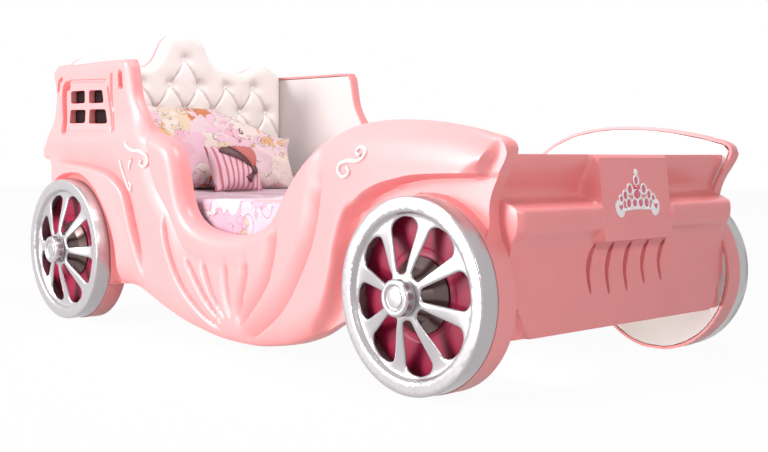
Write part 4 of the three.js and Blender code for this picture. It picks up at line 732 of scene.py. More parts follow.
# Node-based materials
def add_node(tree, kind, feeds=None, **values):
    """A node whose settings and inputs take the values, and whose inputs take what feeds them."""
    node = tree.nodes.new(f"ShaderNode{kind}")
    for key, value in values.items():
        if key in node.inputs:
            node.inputs[key].default_value = value
        else:
            setattr(node, key, value)
    for socket, source in (feeds or {}).items():
        tree.links.new(source, node.inputs[socket])
    return node


def calculate(tree, operation, *operands):
    """The output of a Math node over numbers or outputs."""
    node = add_node(tree, "Math", operation=operation)
    for socket, value in zip(node.inputs, operands):
        if isinstance(value, (int, float)):
            socket.default_value = value
        else:
            tree.links.new(value, socket)
    return node.outputs["Value"]


def ramp(tree, factor, stops, interpolation="LINEAR"):
    """The colour that a factor picks from stops."""
    node = add_node(tree, "ValToRGB", {"Fac": factor})
    elements = node.color_ramp.elements
    while len(elements) < len(stops):
        elements.new(0.5)
    for element, (place, colour) in zip(elements, stops):
        element.position = place
        element.color = colour
    node.color_ramp.interpolation = interpolation
    return node.outputs["Color"]


def linear(*srgb):
    """A colour as the eye reads it, 0 to 255, in the renderer's own scale."""
    return (*[((v / 255 + 0.055) / 1.055) ** 2.4 if v > 10 else v / 3295 for v in srgb], 1.0)


def shade(colour, share):
    """A colour made darker, or lighter by a share over 1."""
    return (*[min(1.0, c * share) for c in colour[:3]], 1.0)


class Finish:
    """A node-based material, built up around its shader in the bed's own frame."""

    def __init__(self, name, inputs):
        self.material = bpy.data.materials.new(name)
        self.material.use_nodes = True
        self.tree = self.material.node_tree
        self.shader = self.tree.nodes["Principled BSDF"]
        self.place = add_node(self.tree, "TexCoord").outputs["Object"]
        for key, value in inputs.items():
            self.shader.inputs[key].default_value = value

    def texture(self, kind, output, place=None, **values):
        vector = self.place if place is None else place
        return add_node(self.tree, f"Tex{kind}", {"Vector": vector}, **values).outputs[output]

    def noise(self, scale, detail=2.0, place=None, **values):
        return self.texture("Noise", "Fac", place, Scale=scale, Detail=detail, **values)

    def stretched(self, *scale):
        """The place on the bed, scaled along each axis."""
        return add_node(self.tree, "Mapping", {"Vector": self.place}, Scale=scale).outputs["Vector"]

    def calculate(self, operation, *operands):
        return calculate(self.tree, operation, *operands)

    def feed(self, socket, source):
        self.tree.links.new(source, self.shader.inputs[socket])

    def tint(self, factor, *stops):
        self.feed("Base Color", ramp(self.tree, factor, stops))

    def vary_roughness(self, factor, low, high):
        spread = add_node(self.tree, "MapRange", {"Value": factor},
                          **{"To Min": low, "To Max": high})
        self.feed("Roughness", spread.outputs["Result"])

    def relief(self, height, strength, distance):
        bump = add_node(self.tree, "Bump", {"Height": height}, Strength=strength,
                        Distance=distance)
        self.feed("Normal", bump.outputs["Normal"])

    def weave(self, scale, strength, distance):
        """The relief of a fine plain weave: two crossed sets of threads."""
        threads = [self.texture("Wave", "Fac", Scale=scale, bands_direction=way) for way in "XY"]
        self.relief(self.calculate("MAXIMUM", *threads), strength, distance)


def moulded_plastic(name, colour, roughness=0.22, coat=0.6, specular=0.5):
    """Glossy moulded plastic: a faint waviness in its surface and in its colour."""
    finish = Finish(name, {"Coat Weight": coat, "Coat Roughness": 0.08,
                           "Specular IOR Level": specular})
    waves = finish.noise(9.0)
    finish.tint(waves, (0.3, shade(colour, 0.97)), (0.7, colour))
    finish.vary_roughness(finish.noise(420.0, 3.0), roughness * 0.85, roughness * 1.2)
    finish.relief(waves, 0.02, 0.01)
    return finish.material


def leather(name, colour):
    finish = Finish(name, {"Roughness": 0.36, "Coat Weight": 0.15})
    finish.tint(finish.noise(14.0, 4.0), (0.3, shade(colour, 0.93)), (0.7, colour))
    finish.relief(finish.texture("Voronoi", "Distance", Scale=620.0), 0.12, 0.0006)
    return finish.material


def wood(name, pale, dark):
    """Planed wood whose grain runs across the bed."""
    finish = Finish(name, {"Roughness": 0.55})
    grain = finish.noise(3.0, 6.0, finish.stretched(1.0, 14.0, 14.0), Distortion=0.6)
    finish.tint(grain, (0.3, dark), (0.5, pale), (0.72, shade(pale, 0.9)))
    finish.relief(grain, 0.15, 0.001)
    return finish.material


def brushed_steel(name):
    finish = Finish(name, {"Metallic": 0.9, "Roughness": 0.38})
    scratches = finish.noise(2.0, 4.0, finish.stretched(60.0, 60.0, 900.0))
    finish.tint(scratches, (0.3, linear(170, 172, 176)), (0.7, linear(205, 207, 210)))
    return finish.material


def metallic_paint(name, colour):
    finish = Finish(name, {"Metallic": 0.75, "Roughness": 0.3, "Coat Weight": 0.4})
    flakes = finish.texture("Voronoi", "Distance", Scale=900.0)
    finish.tint(flakes, (0.0, colour), (0.8, shade(colour, 1.5)))
    return finish.material


def pearl_paint(name, colour):
    """Silver paint with a pearly depth: part metal, part clear gloss."""
    finish = Finish(name, {"Metallic": 0.7, "Coat Weight": 0.3, "Coat Roughness": 0.2})
    finish.tint(finish.noise(700.0), (0.35, shade(colour, 0.93)), (0.65, colour))
    finish.vary_roughness(finish.noise(12.0), 0.24, 0.34)
    return finish.material


def curl_lines(finish, plane, scale):
    """Thin spiral curls, one in each cell of a loose grid: 1 on the drawn line."""
    tree = finish.tree
    cells = add_node(tree, "TexVoronoi", {"Vector": finish.place}, Scale=scale, Randomness=0.9)
    away = cells.outputs["Distance"]
    apart = add_node(tree, "VectorMath", {0: finish.place, 1: cells.outputs["Position"]},
                     operation="SUBTRACT")
    axes = add_node(tree, "SeparateXYZ", {"Vector": apart.outputs["Vector"]}).outputs
    angle = finish.calculate("ARCTAN2", axes[plane[1]], axes[plane[0]])
    turn = finish.calculate("DIVIDE", angle, 2 * math.pi)
    phase = finish.calculate("ADD", turn, finish.calculate("MULTIPLY", away, 4.2))
    line = finish.calculate("LESS_THAN", finish.calculate("FRACT", phase), 0.13)
    near = finish.calculate("LESS_THAN", away, 0.42)
    dice = add_node(tree, "SeparateColor", {"Color": cells.outputs["Color"]}).outputs["Green"]
    some = finish.calculate("GREATER_THAN", dice, 0.45)
    return finish.calculate("MULTIPLY", finish.calculate("MULTIPLY", line, near), some)


def printed_cotton(name, plane, scale, ink, *colours):
    """Soft cotton with a loose print: warm and pale patches with thin outlines, and curls."""
    finish = Finish(name, {"Roughness": 0.8, "Sheen Weight": 0.2})
    drift = finish.texture("Noise", "Color", Scale=scale * 1.4, Detail=3.0)
    shifted = add_node(finish.tree, "VectorMath", {0: drift, 2: finish.place},
                       operation="MULTIPLY_ADD")
    shifted.inputs[1].default_value = (0.2, 0.2, 0.2)
    bent = shifted.outputs["Vector"]
    patches = finish.texture("Voronoi", "Color", bent, Scale=scale)
    dice = add_node(finish.tree, "SeparateColor", {"Color": patches}).outputs["Red"]
    tint = ramp(finish.tree, dice, colours, "CONSTANT")
    edge = finish.texture("Voronoi", "Distance", bent, Scale=scale, feature="DISTANCE_TO_EDGE")
    outline = ramp(finish.tree, edge, [(0.0, WHITE), (0.02, BLACK)])
    mask = ramp(finish.tree, finish.noise(scale * 0.9), [(0.46, BLACK), (0.52, WHITE)])
    outline = finish.calculate("MULTIPLY", outline, mask)
    lines = finish.calculate("MAXIMUM", outline, curl_lines(finish, plane, scale * 1.3))
    strength = finish.calculate("MULTIPLY", lines, ink)
    drawn = add_node(finish.tree, "Mix", {"Factor": strength, "A": tint}, data_type="RGBA", B=INK)
    finish.feed("Base Color", drawn.outputs["Result"])
    finish.weave(420.0, 0.18, 0.0004)
    return finish.material


def striped_cotton(name, ground, stripe):
    """Cotton with narrow upright stripes."""
    finish = Finish(name, {"Roughness": 0.8, "Sheen Weight": 0.2})
    bands = finish.texture("Wave", "Fac", Scale=14.0, Distortion=1.2, bands_direction="X")
    finish.tint(bands, (0.6, ground), (0.76, stripe))
    finish.weave(420.0, 0.18, 0.0004)
    return finish.material


def plain_cloth(name, colour, roughness=0.85):
    finish = Finish(name, {"Roughness": roughness, "Sheen Weight": 0.3})
    finish.tint(finish.noise(30.0, 3.0), (0.3, shade(colour, 0.9)), (0.7, colour))
    finish.weave(300.0, 0.2, 0.0005)
    return finish.material


WHITE = (1, 1, 1, 1)
BLACK = (0, 0, 0, 1)
INK = linear(70, 36, 40)
SIDE_PINK = moulded_plastic("side_pink", (0.79, 0.27, 0.275, 1), 0.4, 0.06)
# The side's pink paint made a little more saturated for the foot panel: painted shade for the end
# that faces away from the key lamp
FOOT_PINK_SHADED = moulded_plastic("foot_pink", (0.80, 0.25, 0.255, 1), 0.34, 0.15)
BOARD_PINK = moulded_plastic("board_pink", (0.84, 0.25, 0.26, 1), 0.35, 0.2)
WHITE_GLOSS = moulded_plastic("white_gloss", linear(235, 230, 231), 0.2)
WHITE_BOARD = moulded_plastic("white_laminate", linear(212, 204, 203), 0.42, 0.1)
SCROLL_WHITE = moulded_plastic("scroll_white", linear(212, 192, 192), 0.3, 0.2)
# A sheet behind the window openings, coloured near-black: painted shade for the hollow behind the
# panes
WINDOW_SHADE_SHEET = moulded_plastic("window_sheet_painted_shade", linear(24, 6, 9), 0.5, 0.0, specular=0.1)
MAGENTA = moulded_plastic("magenta_gloss", (0.24, 0.005, 0.035, 1), 0.4, 0.0, specular=0.25)
TIARA_STONE = moulded_plastic("tiara_stone", (0.62, 0.05, 0.14, 1), 0.1, 0.8)
CRYSTAL = moulded_plastic("crystal", linear(225, 228, 232), 0.05, 1.0)
WHEEL_SILVER = pearl_paint("pearl_silver", (0.45, 0.425, 0.438, 1))
GREY_METAL = metallic_paint("grey_metallic", linear(84, 68, 66))
STEEL = brushed_steel("zinc_steel")
PINE = wood("pine", linear(222, 192, 148), linear(188, 148, 100))
LEATHER = leather("white_leatherette", linear(236, 226, 222))
TICKING = plain_cloth("ticking", linear(240, 236, 226))
RUSSET = plain_cloth("russet_ribbon", linear(182, 84, 78), 0.5)
# The russet ribbon made dark: painted shade for the bow's back loop, knot and tail
SHADED_RIBBON = plain_cloth("ribbon_painted_shade", linear(78, 22, 26), 0.5)
STRIPED = striped_cotton("striped_cotton", linear(218, 176, 188), linear(186, 108, 118))
COTTON = printed_cotton(
    "printed_cotton", "XZ", 12.0, 0.9,
    (0.0, linear(220, 180, 194)), (0.22, linear(220, 204, 196)), (0.42, linear(218, 166, 180)),
    (0.56, linear(212, 164, 120)), (0.66, linear(218, 190, 196)), (0.82, linear(196, 118, 72)),
    (0.89, linear(216, 192, 168)))
COTTON_PALE = printed_cotton(
    "printed_cotton_pale", "XY", 8.0, 0.6,
    (0.0, linear(196, 156, 174)), (0.24, linear(200, 170, 184)), (0.46, linear(194, 148, 166)),
    (0.62, linear(204, 186, 190)), (0.76, linear(200, 164, 140)), (0.86, linear(198, 162, 176)))


# Foot panel
FOOT_INNER_Y = -0.9675
FOOT_HALF_WIDTH = INNER_HALF_WIDTH - 0.0003
FOOT_UNDERSIDE = 0.149
FOOT_HEIGHT = 0.590
FOOT_RISE = FOOT_HEIGHT - FOOT_UNDERSIDE
LEDGE_DEPTH = 0.152
FOOT_PROFILE = [(0.69, 1), (0.705, 0.965), (0.67, 0.93), (0.57, 0.865), (0.5, 0.8),
                (0.56, 0.755), (0.93, 0.712), (0.985, 0.69), (1, 0.64), (0.97, 0.585),
                (0.84, 0.53), (0.77, 0.47), (0.78, 0.35), (0.8, 0.1), (0.8, 0)]
FOOT_PROFILE_STEP = 0.01
LEDGE_FROM = 0.75
LEDGE_CHAMFER = 0.026
LEDGE_CHAMFER_DEPTH = 0.016
LEDGE_CHAMFER_POWER = 1.5
PLATE_HALF_WIDTH = 0.15
PLATE_BOTTOM_DEPTH = 0.154
PLATE_TOP_DEPTH = 0.128
PLATE_BOTTOM = FOOT_UNDERSIDE + 0.505 * FOOT_RISE
PLATE_TOP = FOOT_UNDERSIDE + 0.982 * FOOT_RISE
PLATE_STEP = 0.006
PLATE_FILLET = 0.016
PLATE_ROW_POINTS = 60
FOOT_CORNER = (0.072, 0.105)
FOOT_CORNER_SINK = 0.014
FOOT_CORNER_BOW = 0.12
FOOT_CORNER_EDGE = 0.12
LOUVRE_PITCH = 0.078
LOUVRE_LENGTH = 0.127
LOUVRE_BOW = 0.026
LOUVRE_LEAN = 0.020
LOUVRE_SHIFT = 0.014
LOUVRE_WIDTH = 0.013
LOUVRE_WALL = 0.003
LOUVRE_DEPTH = 0.030
LOUVRE_TOP = FOOT_UNDERSIDE + 0.488 * FOOT_RISE
LOUVRE_RISES = [0, -0.016, -0.01, 0.022, 0.03]
LOUVRE_POWER = 0.8
LOUVRE_END_PACE = 3
LOUVRE_POINTS = 12
LOUVRE_POINT_STEP = 0.0025
BEVEL_ROWS = [0.003, LEDGE_CHAMFER / 2, LEDGE_CHAMFER]
FOOT_STEP = 0.006
FOOT_MARGIN = 0.002
FOOT_POINT_GAP = 0.0016


def louvre_line(index):
    middle = (index - (len(LOUVRE_RISES) - 1) / 2) * LOUVRE_PITCH
    drop = LOUVRE_LENGTH - LOUVRE_RISES[index] * FOOT_RISE
    share = np.linspace(0, 1, LOUVRE_POINTS)
    bow = LOUVRE_BOW * np.sin(math.pi * share**LOUVRE_POWER)
    across = middle + LOUVRE_SHIFT - bow - LOUVRE_LEAN * share
    return np.column_stack([across, LOUVRE_TOP - drop * share])


def louvre_taper(along):
    """Share of a louvre's full width: widest in its upper half, a point at each end."""
    return np.sin(math.pi * clamp(along) ** LOUVRE_POWER) ** LOUVRE_POWER


LOUVRES = [louvre_line(i) for i in range(len(LOUVRE_RISES))]


def louvre_depth(p, line):
    distance, side, along = to_line(p, line)
    taper = louvre_taper(along)
    beyond_slot = distance - np.where(side > 0, LOUVRE_WIDTH * taper, 0)
    return LOUVRE_DEPTH * (1 - smooth(beyond_slot / LOUVRE_WALL)) \
        * smooth(taper * LOUVRE_END_PACE)


def foot_stand(p):
    """How far the front of the foot panel stands out from its inner face."""
    across, rise = np.abs(p[:, 0]), p[:, 1] - FOOT_UNDERSIDE
    depths, heights = np.array(FOOT_PROFILE[::-1]).T
    curve = smooth_line(np.column_stack([heights, depths]), FOOT_PROFILE_STEP)
    profile = LEDGE_DEPTH * np.interp(rise / FOOT_RISE, curve[:, 0], curve[:, 1])
    chamfer = clamp((across - FOOT_HALF_WIDTH + LEDGE_CHAMFER) / LEDGE_CHAMFER)
    ledge = clamp((profile / LEDGE_DEPTH - LEDGE_FROM) / (1 - LEDGE_FROM))
    stand = profile - LEDGE_CHAMFER_DEPTH * chamfer**LEDGE_CHAMFER_POWER * ledge
    for line in LOUVRES:
        stand = stand - louvre_depth(p, line)
    bow = 1 + FOOT_CORNER_BOW * np.sin(rise / FOOT_CORNER[1] * 2 * math.pi)
    corner = (FOOT_HALF_WIDTH - across) / FOOT_CORNER[0] * bow + rise / FOOT_CORNER[1]
    stand = stand - FOOT_CORNER_SINK * smooth((1 - corner) / FOOT_CORNER_EDGE)
    plate = mix(PLATE_BOTTOM_DEPTH, PLATE_TOP_DEPTH,
                (p[:, 1] - PLATE_BOTTOM) / (PLATE_TOP - PLATE_BOTTOM))
    beyond = across - PLATE_HALF_WIDTH
    above_foot = smooth((p[:, 1] - PLATE_BOTTOM + PLATE_STEP) / PLATE_STEP)
    fillet = (1 - clamp(beyond / PLATE_FILLET)) ** 2 * above_foot
    stand = mix(stand, np.maximum(stand, plate - PLATE_STEP), fillet)
    outside = np.maximum(np.maximum(beyond, PLATE_BOTTOM - p[:, 1]), p[:, 1] - PLATE_TOP)
    return mix(plate, stand, smooth(outside / PLATE_STEP))


def foot_rows(loop):
    """Points along the louvres, the steps of the plate and the bevels of the ledge."""
    rows = []
    for line in LOUVRES:
        fine = smooth_line(line, LOUVRE_POINT_STEP)
        width = LOUVRE_WIDTH * louvre_taper(np.linspace(0, 1, len(fine)))[:, None]
        rows += [beside(fine, -LOUVRE_WALL), fine, beside(fine, width),
                 beside(fine, width + LOUVRE_WALL)]
    for extra in (0.0, PLATE_STEP / 2, PLATE_STEP):
        box = closed(rectangle(PLATE_HALF_WIDTH + extra, PLATE_BOTTOM - extra, PLATE_TOP + extra))
        rows += [mix(a, b, np.linspace(0, 1, PLATE_ROW_POINTS)[:, None])
                 for a, b in zip(box, box[1:])]
    upright = np.arange(FOOT_UNDERSIDE, FOOT_HEIGHT, FOOT_STEP)
    rows += [np.column_stack([np.full(len(upright), hand * (FOOT_HALF_WIDTH - inward)), upright])
             for hand in (-1, 1) for inward in BEVEL_ROWS]
    points = np.vstack(rows)
    return thin_out(points[inside(points, inset(loop, FOOT_MARGIN))], FOOT_POINT_GAP)


def make_foot_shell():
    corners = closed(rectangle(FOOT_HALF_WIDTH, FOOT_UNDERSIDE, FOOT_HEIGHT))
    sides = []
    for a, b in zip(corners, corners[1:]):
        count = round(math.hypot(*(b - a)) / FOOT_STEP)
        sides.append(mix(a, b, np.arange(count)[:, None] / count))
    loop = np.vstack(sides)
    inner = filled(loop, foot_rows(loop), FOOT_STEP, FOOT_STEP / 2)
    verts, faces = relief_mesh(loop, [], inner, foot_stand, SEAT_DEPTH, LIP_WIDTH)
    # The foot shell takes the more saturated copy of the pink, which is painted shade
    add_piece("moulded_foot", end_frame(verts, FOOT_INNER_Y), faces, FOOT_PINK_SHADED, "pink_shell",
              ["foot_shell"])


# Headboard pad with its buttons
HEADBOARD = [(1, 0), (0.995, 0.09), (0.955, 0.2), (0.88, 0.32), (0.79, 0.36), (0.705, 0.29),
             (0.62, 0.18), (0.53, 0.14), (0.405, 0.15), (0.325, 0.22), (0.265, 0.38),
             (0.218, 0.63), (0.178, 0.84), (0.107, 0.975), (0, 1)]
HEADBOARD_HEIGHT = 1.038
HEADBOARD_RISE = 0.16
PAD_HALF_WIDTH = INNER_HALF_WIDTH - 0.002
PAD_UNDERSIDE = 0.400
PAD_BACK_Y = 1.0145
PAD_THICKNESS = 0.042
PAD_EDGE_RADIUS = 0.034
PAD_SINK_MARGIN = 0.02
PAD_STEP = 0.0065
BUTTON_PITCH_ACROSS = 0.132
BUTTON_PITCH_UP = 0.098
BUTTON_TOP = 0.941
BUTTON_ROWS = 6
BUTTON_REACH = 3
BUTTON_SINK = 0.024
BUTTON_SPREAD = 0.024
BUTTON_POWER = 1.6
BUTTON_RADIUS = 0.008
BUTTON_LIFT = 0.35
BUTTON_FLATNESS = 0.6
FOLD_SINK = 0.011
FOLD_MIDDLE = 0.55
FOLD_WIDTH = 0.022
CREASE_SINK = 0.011
CREASE_WIDTH = 0.0045
CREASE_SPAN = (0.03, 0.97)
CREASE_POINTS = 28
PAD_POINT_GAP = 0.6 * CREASE_WIDTH


def headboard_outline():
    foot = HEADBOARD_HEIGHT - HEADBOARD_RISE
    half = smooth_line([(a * PAD_HALF_WIDTH, foot + b * HEADBOARD_RISE) for a, b in HEADBOARD],
                       PAD_STEP)
    left = half[:-1][::-1] * (-1, 1)
    rise = np.arange(PAD_UNDERSIDE, foot, PAD_STEP)
    right_side = np.column_stack([np.full(len(rise), PAD_HALF_WIDTH), rise])
    left_side = (right_side * (-1, 1))[::-1]
    across = np.linspace(-PAD_HALF_WIDTH, PAD_HALF_WIDTH, round(2 * PAD_HALF_WIDTH / PAD_STEP))
    base = np.column_stack([across[1:-1], np.full(len(across) - 2, PAD_UNDERSIDE)])
    return np.vstack([base, right_side, half, left, left_side])


def button_places():
    places = []
    for row in range(BUTTON_ROWS):
        up = BUTTON_TOP - row * BUTTON_PITCH_UP
        reach = BUTTON_REACH if row else 0
        for i in range(-reach, reach + 1):
            across = (i + row % 2 / 2) * BUTTON_PITCH_ACROSS
            if abs(across) < PAD_HALF_WIDTH - BUTTON_SPREAD and up > PAD_UNDERSIDE + BUTTON_SPREAD:
                places.append((across, up))
    return np.array(places)


BUTTONS = button_places()
FOLDS = [np.array([(a, b), (a + hand * BUTTON_PITCH_ACROSS / 2, b - BUTTON_PITCH_UP)])
         for a, b in BUTTONS for hand in (-1, 1)]
PAD_LOOP = headboard_outline()


def pad_stand(p):
    """How far the front of the pad stands out from its back."""
    edge = to_line(p, closed(PAD_LOOP))[0]
    crown = mix(PAD_THICKNESS / 3, PAD_THICKNESS, rounded(edge / PAD_EDGE_RADIUS))
    sink = np.zeros(len(p))
    for button in BUTTONS:
        away = from_point(p, button) / BUTTON_SPREAD
        sink = np.maximum(sink, BUTTON_SINK * np.exp(-(away**BUTTON_POWER)))
    for fold in FOLDS:
        distance, _, along = to_line(p, fold)
        depth = FOLD_SINK * mix(FOLD_MIDDLE, 1, np.abs(2 * along - 1))
        sink = np.maximum(sink, valley(distance, FOLD_WIDTH, depth)
                          + valley(distance, CREASE_WIDTH, CREASE_SINK))
    return crown - sink * smooth(edge / PAD_SINK_MARGIN)


def make_pad():
    folds = []
    for start, end in FOLDS:
        line = mix(start, end, np.linspace(*CREASE_SPAN, CREASE_POINTS)[:, None])
        folds += [beside(line, offset) for offset in (-CREASE_WIDTH, 0, CREASE_WIDTH)]
    special = np.vstack([BUTTONS, *folds])
    special = thin_out(special[inside(special, inset(PAD_LOOP, PAD_STEP))], PAD_POINT_GAP)
    inner = filled(PAD_LOOP, special, PAD_STEP, PAD_STEP / 2)
    verts, faces = relief_mesh(PAD_LOOP, [], inner, pad_stand, 0.0)
    piece = add_piece("buttoned_pad", end_frame(verts, PAD_BACK_Y), faces, LEATHER,
                      "leatherette", ["headboard_pad"], 75)


def make_buttons():
    """Faceted glass buttons, one in each dimple of the pad."""
    mesh = bmesh.new()
    for (across, up), stand in zip(BUTTONS, pad_stand(BUTTONS)):
        out = PAD_BACK_Y - stand - BUTTON_RADIUS * BUTTON_LIFT
        place = Matrix.Translation((across, out, up)) \
            @ Matrix.Diagonal((1, BUTTON_FLATNESS, 1, 1))
        bmesh.ops.create_icosphere(mesh, subdivisions=1, radius=BUTTON_RADIUS, matrix=place)
    data = bpy.data.meshes.new("pad_buttons")
    mesh.to_mesh(data)
    mesh.free()
    data.materials.append(CRYSTAL)
    piece = bpy.data.objects.new("pad_buttons", data)
    bpy.context.collection.objects.link(piece)
    dress(piece)


# Wheels, about the Z axis with the street side up
RIM_DEPTH = 0.054
RIM_WALL = 0.005
RIM_STEP_RADIUS = 0.199
RIM_STEP_WIDTH = 0.010
RIM_BACK_RADIUS = 0.206
RIM_BACK_SLOPE = 0.0085
WEB_RADIUS = 0.197
WEB_EDGE_DEPTH = 0.040
WEB_HUB_DEPTH = 0.068
WEB_THICKNESS = 0.006
HUB_RADIUS = 0.046
HUB_DEPTH = 0.032
HUB_RING_RADIUS = 0.033
HUB_RING_STEPS = [(0.0, 0.0), (0.004, 0.005), (0.007, 0.005), (0.009, 0.002)]
HUB_CENTRE_SINK = 0.0015
HUB_EDGE = 0.004
HUB_ROUND = 0.0025
CONE_RADIUS = 0.097
CONE_WAIST_RADIUS = 0.069
CONE_HEIGHTS = (0.0053, 0.0103, 0.028)
CONE_ROUND = 0.004
DISH_RADIUS = 0.2027
DISH_THICKNESS = 0.005
DISH_GROOVE = (0.1, 0.105, 0.115, 0.12)
DISH_GROOVE_FLOOR = 0.0035
DISH_ROUND = 0.0015
WINDOW_OUTER_RADIUS = 0.195
WINDOW_INNER_RADIUS = 0.056
WINDOW_ROUNDS = (0.08, 0.2)
WINDOW_POINTS = 40
WINDOW_STEP = 0.0045
SPOKE_WIDTH = 0.017
SPOKE_FLARE = 0.014
SPOKE_COUNT = 8
SPOKE_ROUND = 0.006
SPOKE_ROUND_WIDTH = 0.008
SPOKE_ROUND_SHARE = 0.7
WHEEL_TURNS = {"front": -13.0, "rear": 0.0}
WHEEL_GAP = 0.0003
LATHE_STEPS = 96
HUB_STEPS = 64

# Rows of points that the rim's mesh follows along its steps and windows
RIM_POINTS = 160
RIM_ROWS = [0.0435, 0.2435, 0.2425, 0.241, 0.239, 0.225, 0.2095, 0.207, 0.2045, 0.202, 0.1995,
            0.1975]
RIM_ROW_STEP = 0.009
RIM_ROW_POINTS = 24
WINDOW_ROWS = [0.0012, 0.003, 0.0055, 0.008]
WINDOW_MARGIN = 0.0006
RIM_POINT_GAP = 0.0011
RIM_FILL_STEP = 0.0085
RIM_FILL_GAP = 0.004


def window_loop(turn):
    """One petal-shaped opening between two spokes."""
    shares = np.linspace(0, 1, WINDOW_POINTS)
    radius = mix(WINDOW_INNER_RADIUS, WINDOW_OUTER_RADIUS, shares)
    half = (SPOKE_WIDTH / 2 + SPOKE_FLARE * shares) / radius
    inner, outer = WINDOW_ROUNDS
    ends = np.minimum(rounded(shares / inner), rounded((1 - shares) / outer))
    angle = (math.pi / SPOKE_COUNT - half) * ends
    loop = np.vstack([np.column_stack([radius, -angle])[:-1],
                      np.column_stack([radius, angle])[::-1][:-1]])
    at = loop[:, 1] + turn
    points = np.column_stack([loop[:, 0] * np.cos(at), loop[:, 0] * np.sin(at)])
    return smooth_line(closed(points), WINDOW_STEP)[:-1]


def web_height(radius):
    """Height of the spokes' front, which rises from the rim to the hub."""
    return mix(WEB_HUB_DEPTH, WEB_EDGE_DEPTH,
               smooth((radius - HUB_RADIUS) / (WINDOW_OUTER_RADIUS - HUB_RADIUS)))


def rim_front(radius, gap):
    step = mix(WEB_EDGE_DEPTH, RIM_DEPTH, smooth((radius - RIM_STEP_RADIUS) / RIM_STEP_WIDTH))
    face = np.where(radius < WEB_RADIUS, web_height(radius), step)
    edge = RIM_WALL * (1 - rounded((WHEEL_RADIUS - radius) / RIM_WALL))
    spoke = SPOKE_ROUND * (1 - rounded(gap / SPOKE_ROUND_WIDTH)) * SPOKE_ROUND_SHARE
    return face - edge - spoke


def rim_back(radius):
    web = web_height(radius) - WEB_THICKNESS
    slope = clamp((RIM_BACK_RADIUS - radius) / RIM_BACK_SLOPE)
    return np.where(radius < RIM_BACK_RADIUS - RIM_BACK_SLOPE, web, web * slope)


def rim_mesh():
    outer = circle((0, 0), WHEEL_RADIUS, RIM_POINTS)
    windows = [window_loop((2 * i + 1) * math.pi / SPOKE_COUNT) for i in range(SPOKE_COUNT)]
    bands = [inset(w, -d) for w in windows for d in WINDOW_ROWS]
    rings = [circle((0, 0), r, max(RIM_ROW_POINTS, round(2 * math.pi * r / RIM_ROW_STEP)))
             for r in RIM_ROWS]
    special = thin_out(np.vstack([*bands, *rings]), RIM_POINT_GAP)
    inner = filled(outer, special, RIM_FILL_STEP, RIM_FILL_GAP)
    for window in windows:
        inner = inner[~inside(inner, inset(window, -WINDOW_MARGIN))]
    points, front_faces, rows = triangulate([outer, *windows], inner)
    radius = from_point(points, (0, 0))
    gap = np.min([to_line(points, closed(w))[0] for w in windows], axis=0)
    count = len(points)
    faces = [*front_faces.tolist(), *(front_faces[:, ::-1] + count).tolist()]
    for n, row in enumerate(rows):
        faces += wall(row, [i + count for i in row], 1 if n == 0 else -1)
    verts = np.vstack([at_height(points, rim_front(radius, gap)),
                       at_height(points, rim_back(radius))])
    return verts, np.array(faces)


def hub_mesh():
    top = HUB_DEPTH
    profile = [(0, 0), (HUB_RADIUS, 0), (HUB_RADIUS, top - HUB_EDGE), (HUB_RADIUS - HUB_EDGE, top),
               *[(HUB_RING_RADIUS - inward, top - down) for inward, down in HUB_RING_STEPS],
               (0, top - HUB_CENTRE_SINK)]
    return lathe(rounded_profile(profile, HUB_ROUND), HUB_STEPS)


def cone_mesh():
    """A cone waisted between its foot, which lies on the dish, and its neck under the hub."""
    neck, top = HUB_RADIUS - WHEEL_GAP, WEB_HUB_DEPTH - WEB_THICKNESS - WHEEL_GAP
    low, foot, waist = CONE_HEIGHTS
    profile = [(0, low), (CONE_RADIUS, low), (CONE_RADIUS, foot), (CONE_WAIST_RADIUS, waist),
               (neck, top), (0, top)]
    return lathe(rounded_profile(profile, CONE_ROUND), HUB_STEPS)


def dish_mesh():
    a, b, c, d = DISH_GROOVE
    top, floor = DISH_THICKNESS, DISH_GROOVE_FLOOR
    profile = [(0, 0), (DISH_RADIUS, 0), (DISH_RADIUS, top), (d, top), (c, floor), (b, floor),
               (a, top), (0, top)]
    return lathe(rounded_profile(profile, DISH_ROUND), LATHE_STEPS)


def make_wheels():
    kinds = [
        ("rim", rim_mesh(), 0.0, WHEEL_SILVER, "white_plastic", 50),
        ("hub_cap", hub_mesh(), WEB_HUB_DEPTH + WHEEL_GAP, WHEEL_SILVER, "white_plastic", 38),
        ("cone", cone_mesh(), 0.0, GREY_METAL, "grey_plastic", 38),
        ("dish", dish_mesh(), 0.0, MAGENTA, "magenta_plastic", 38),
    ]
    for end, place in (("front", FRONT_WHEEL_Y), ("rear", REAR_WHEEL_Y)):
        turn = math.radians(WHEEL_TURNS[end])
        for hand, sign in HANDS:
            for kind, (verts, faces), lift, material, slot, angle in kinds:
                spun_y = -(verts[:, 0] * math.cos(turn) - verts[:, 1] * math.sin(turn))
                spun_z = verts[:, 0] * math.sin(turn) + verts[:, 1] * math.cos(turn)
                out = INNER_HALF_WIDTH + LOBE_STAND + WHEEL_GAP + lift + verts[:, 2]
                placed = np.column_stack([sign * out, place + spun_y, WHEEL_RADIUS + spun_z])
                add_piece(f"{end}_{kind}_{hand}", placed, faces, material, slot,
                          [f"{end}_wheel_{kind}_{hand}"], angle)


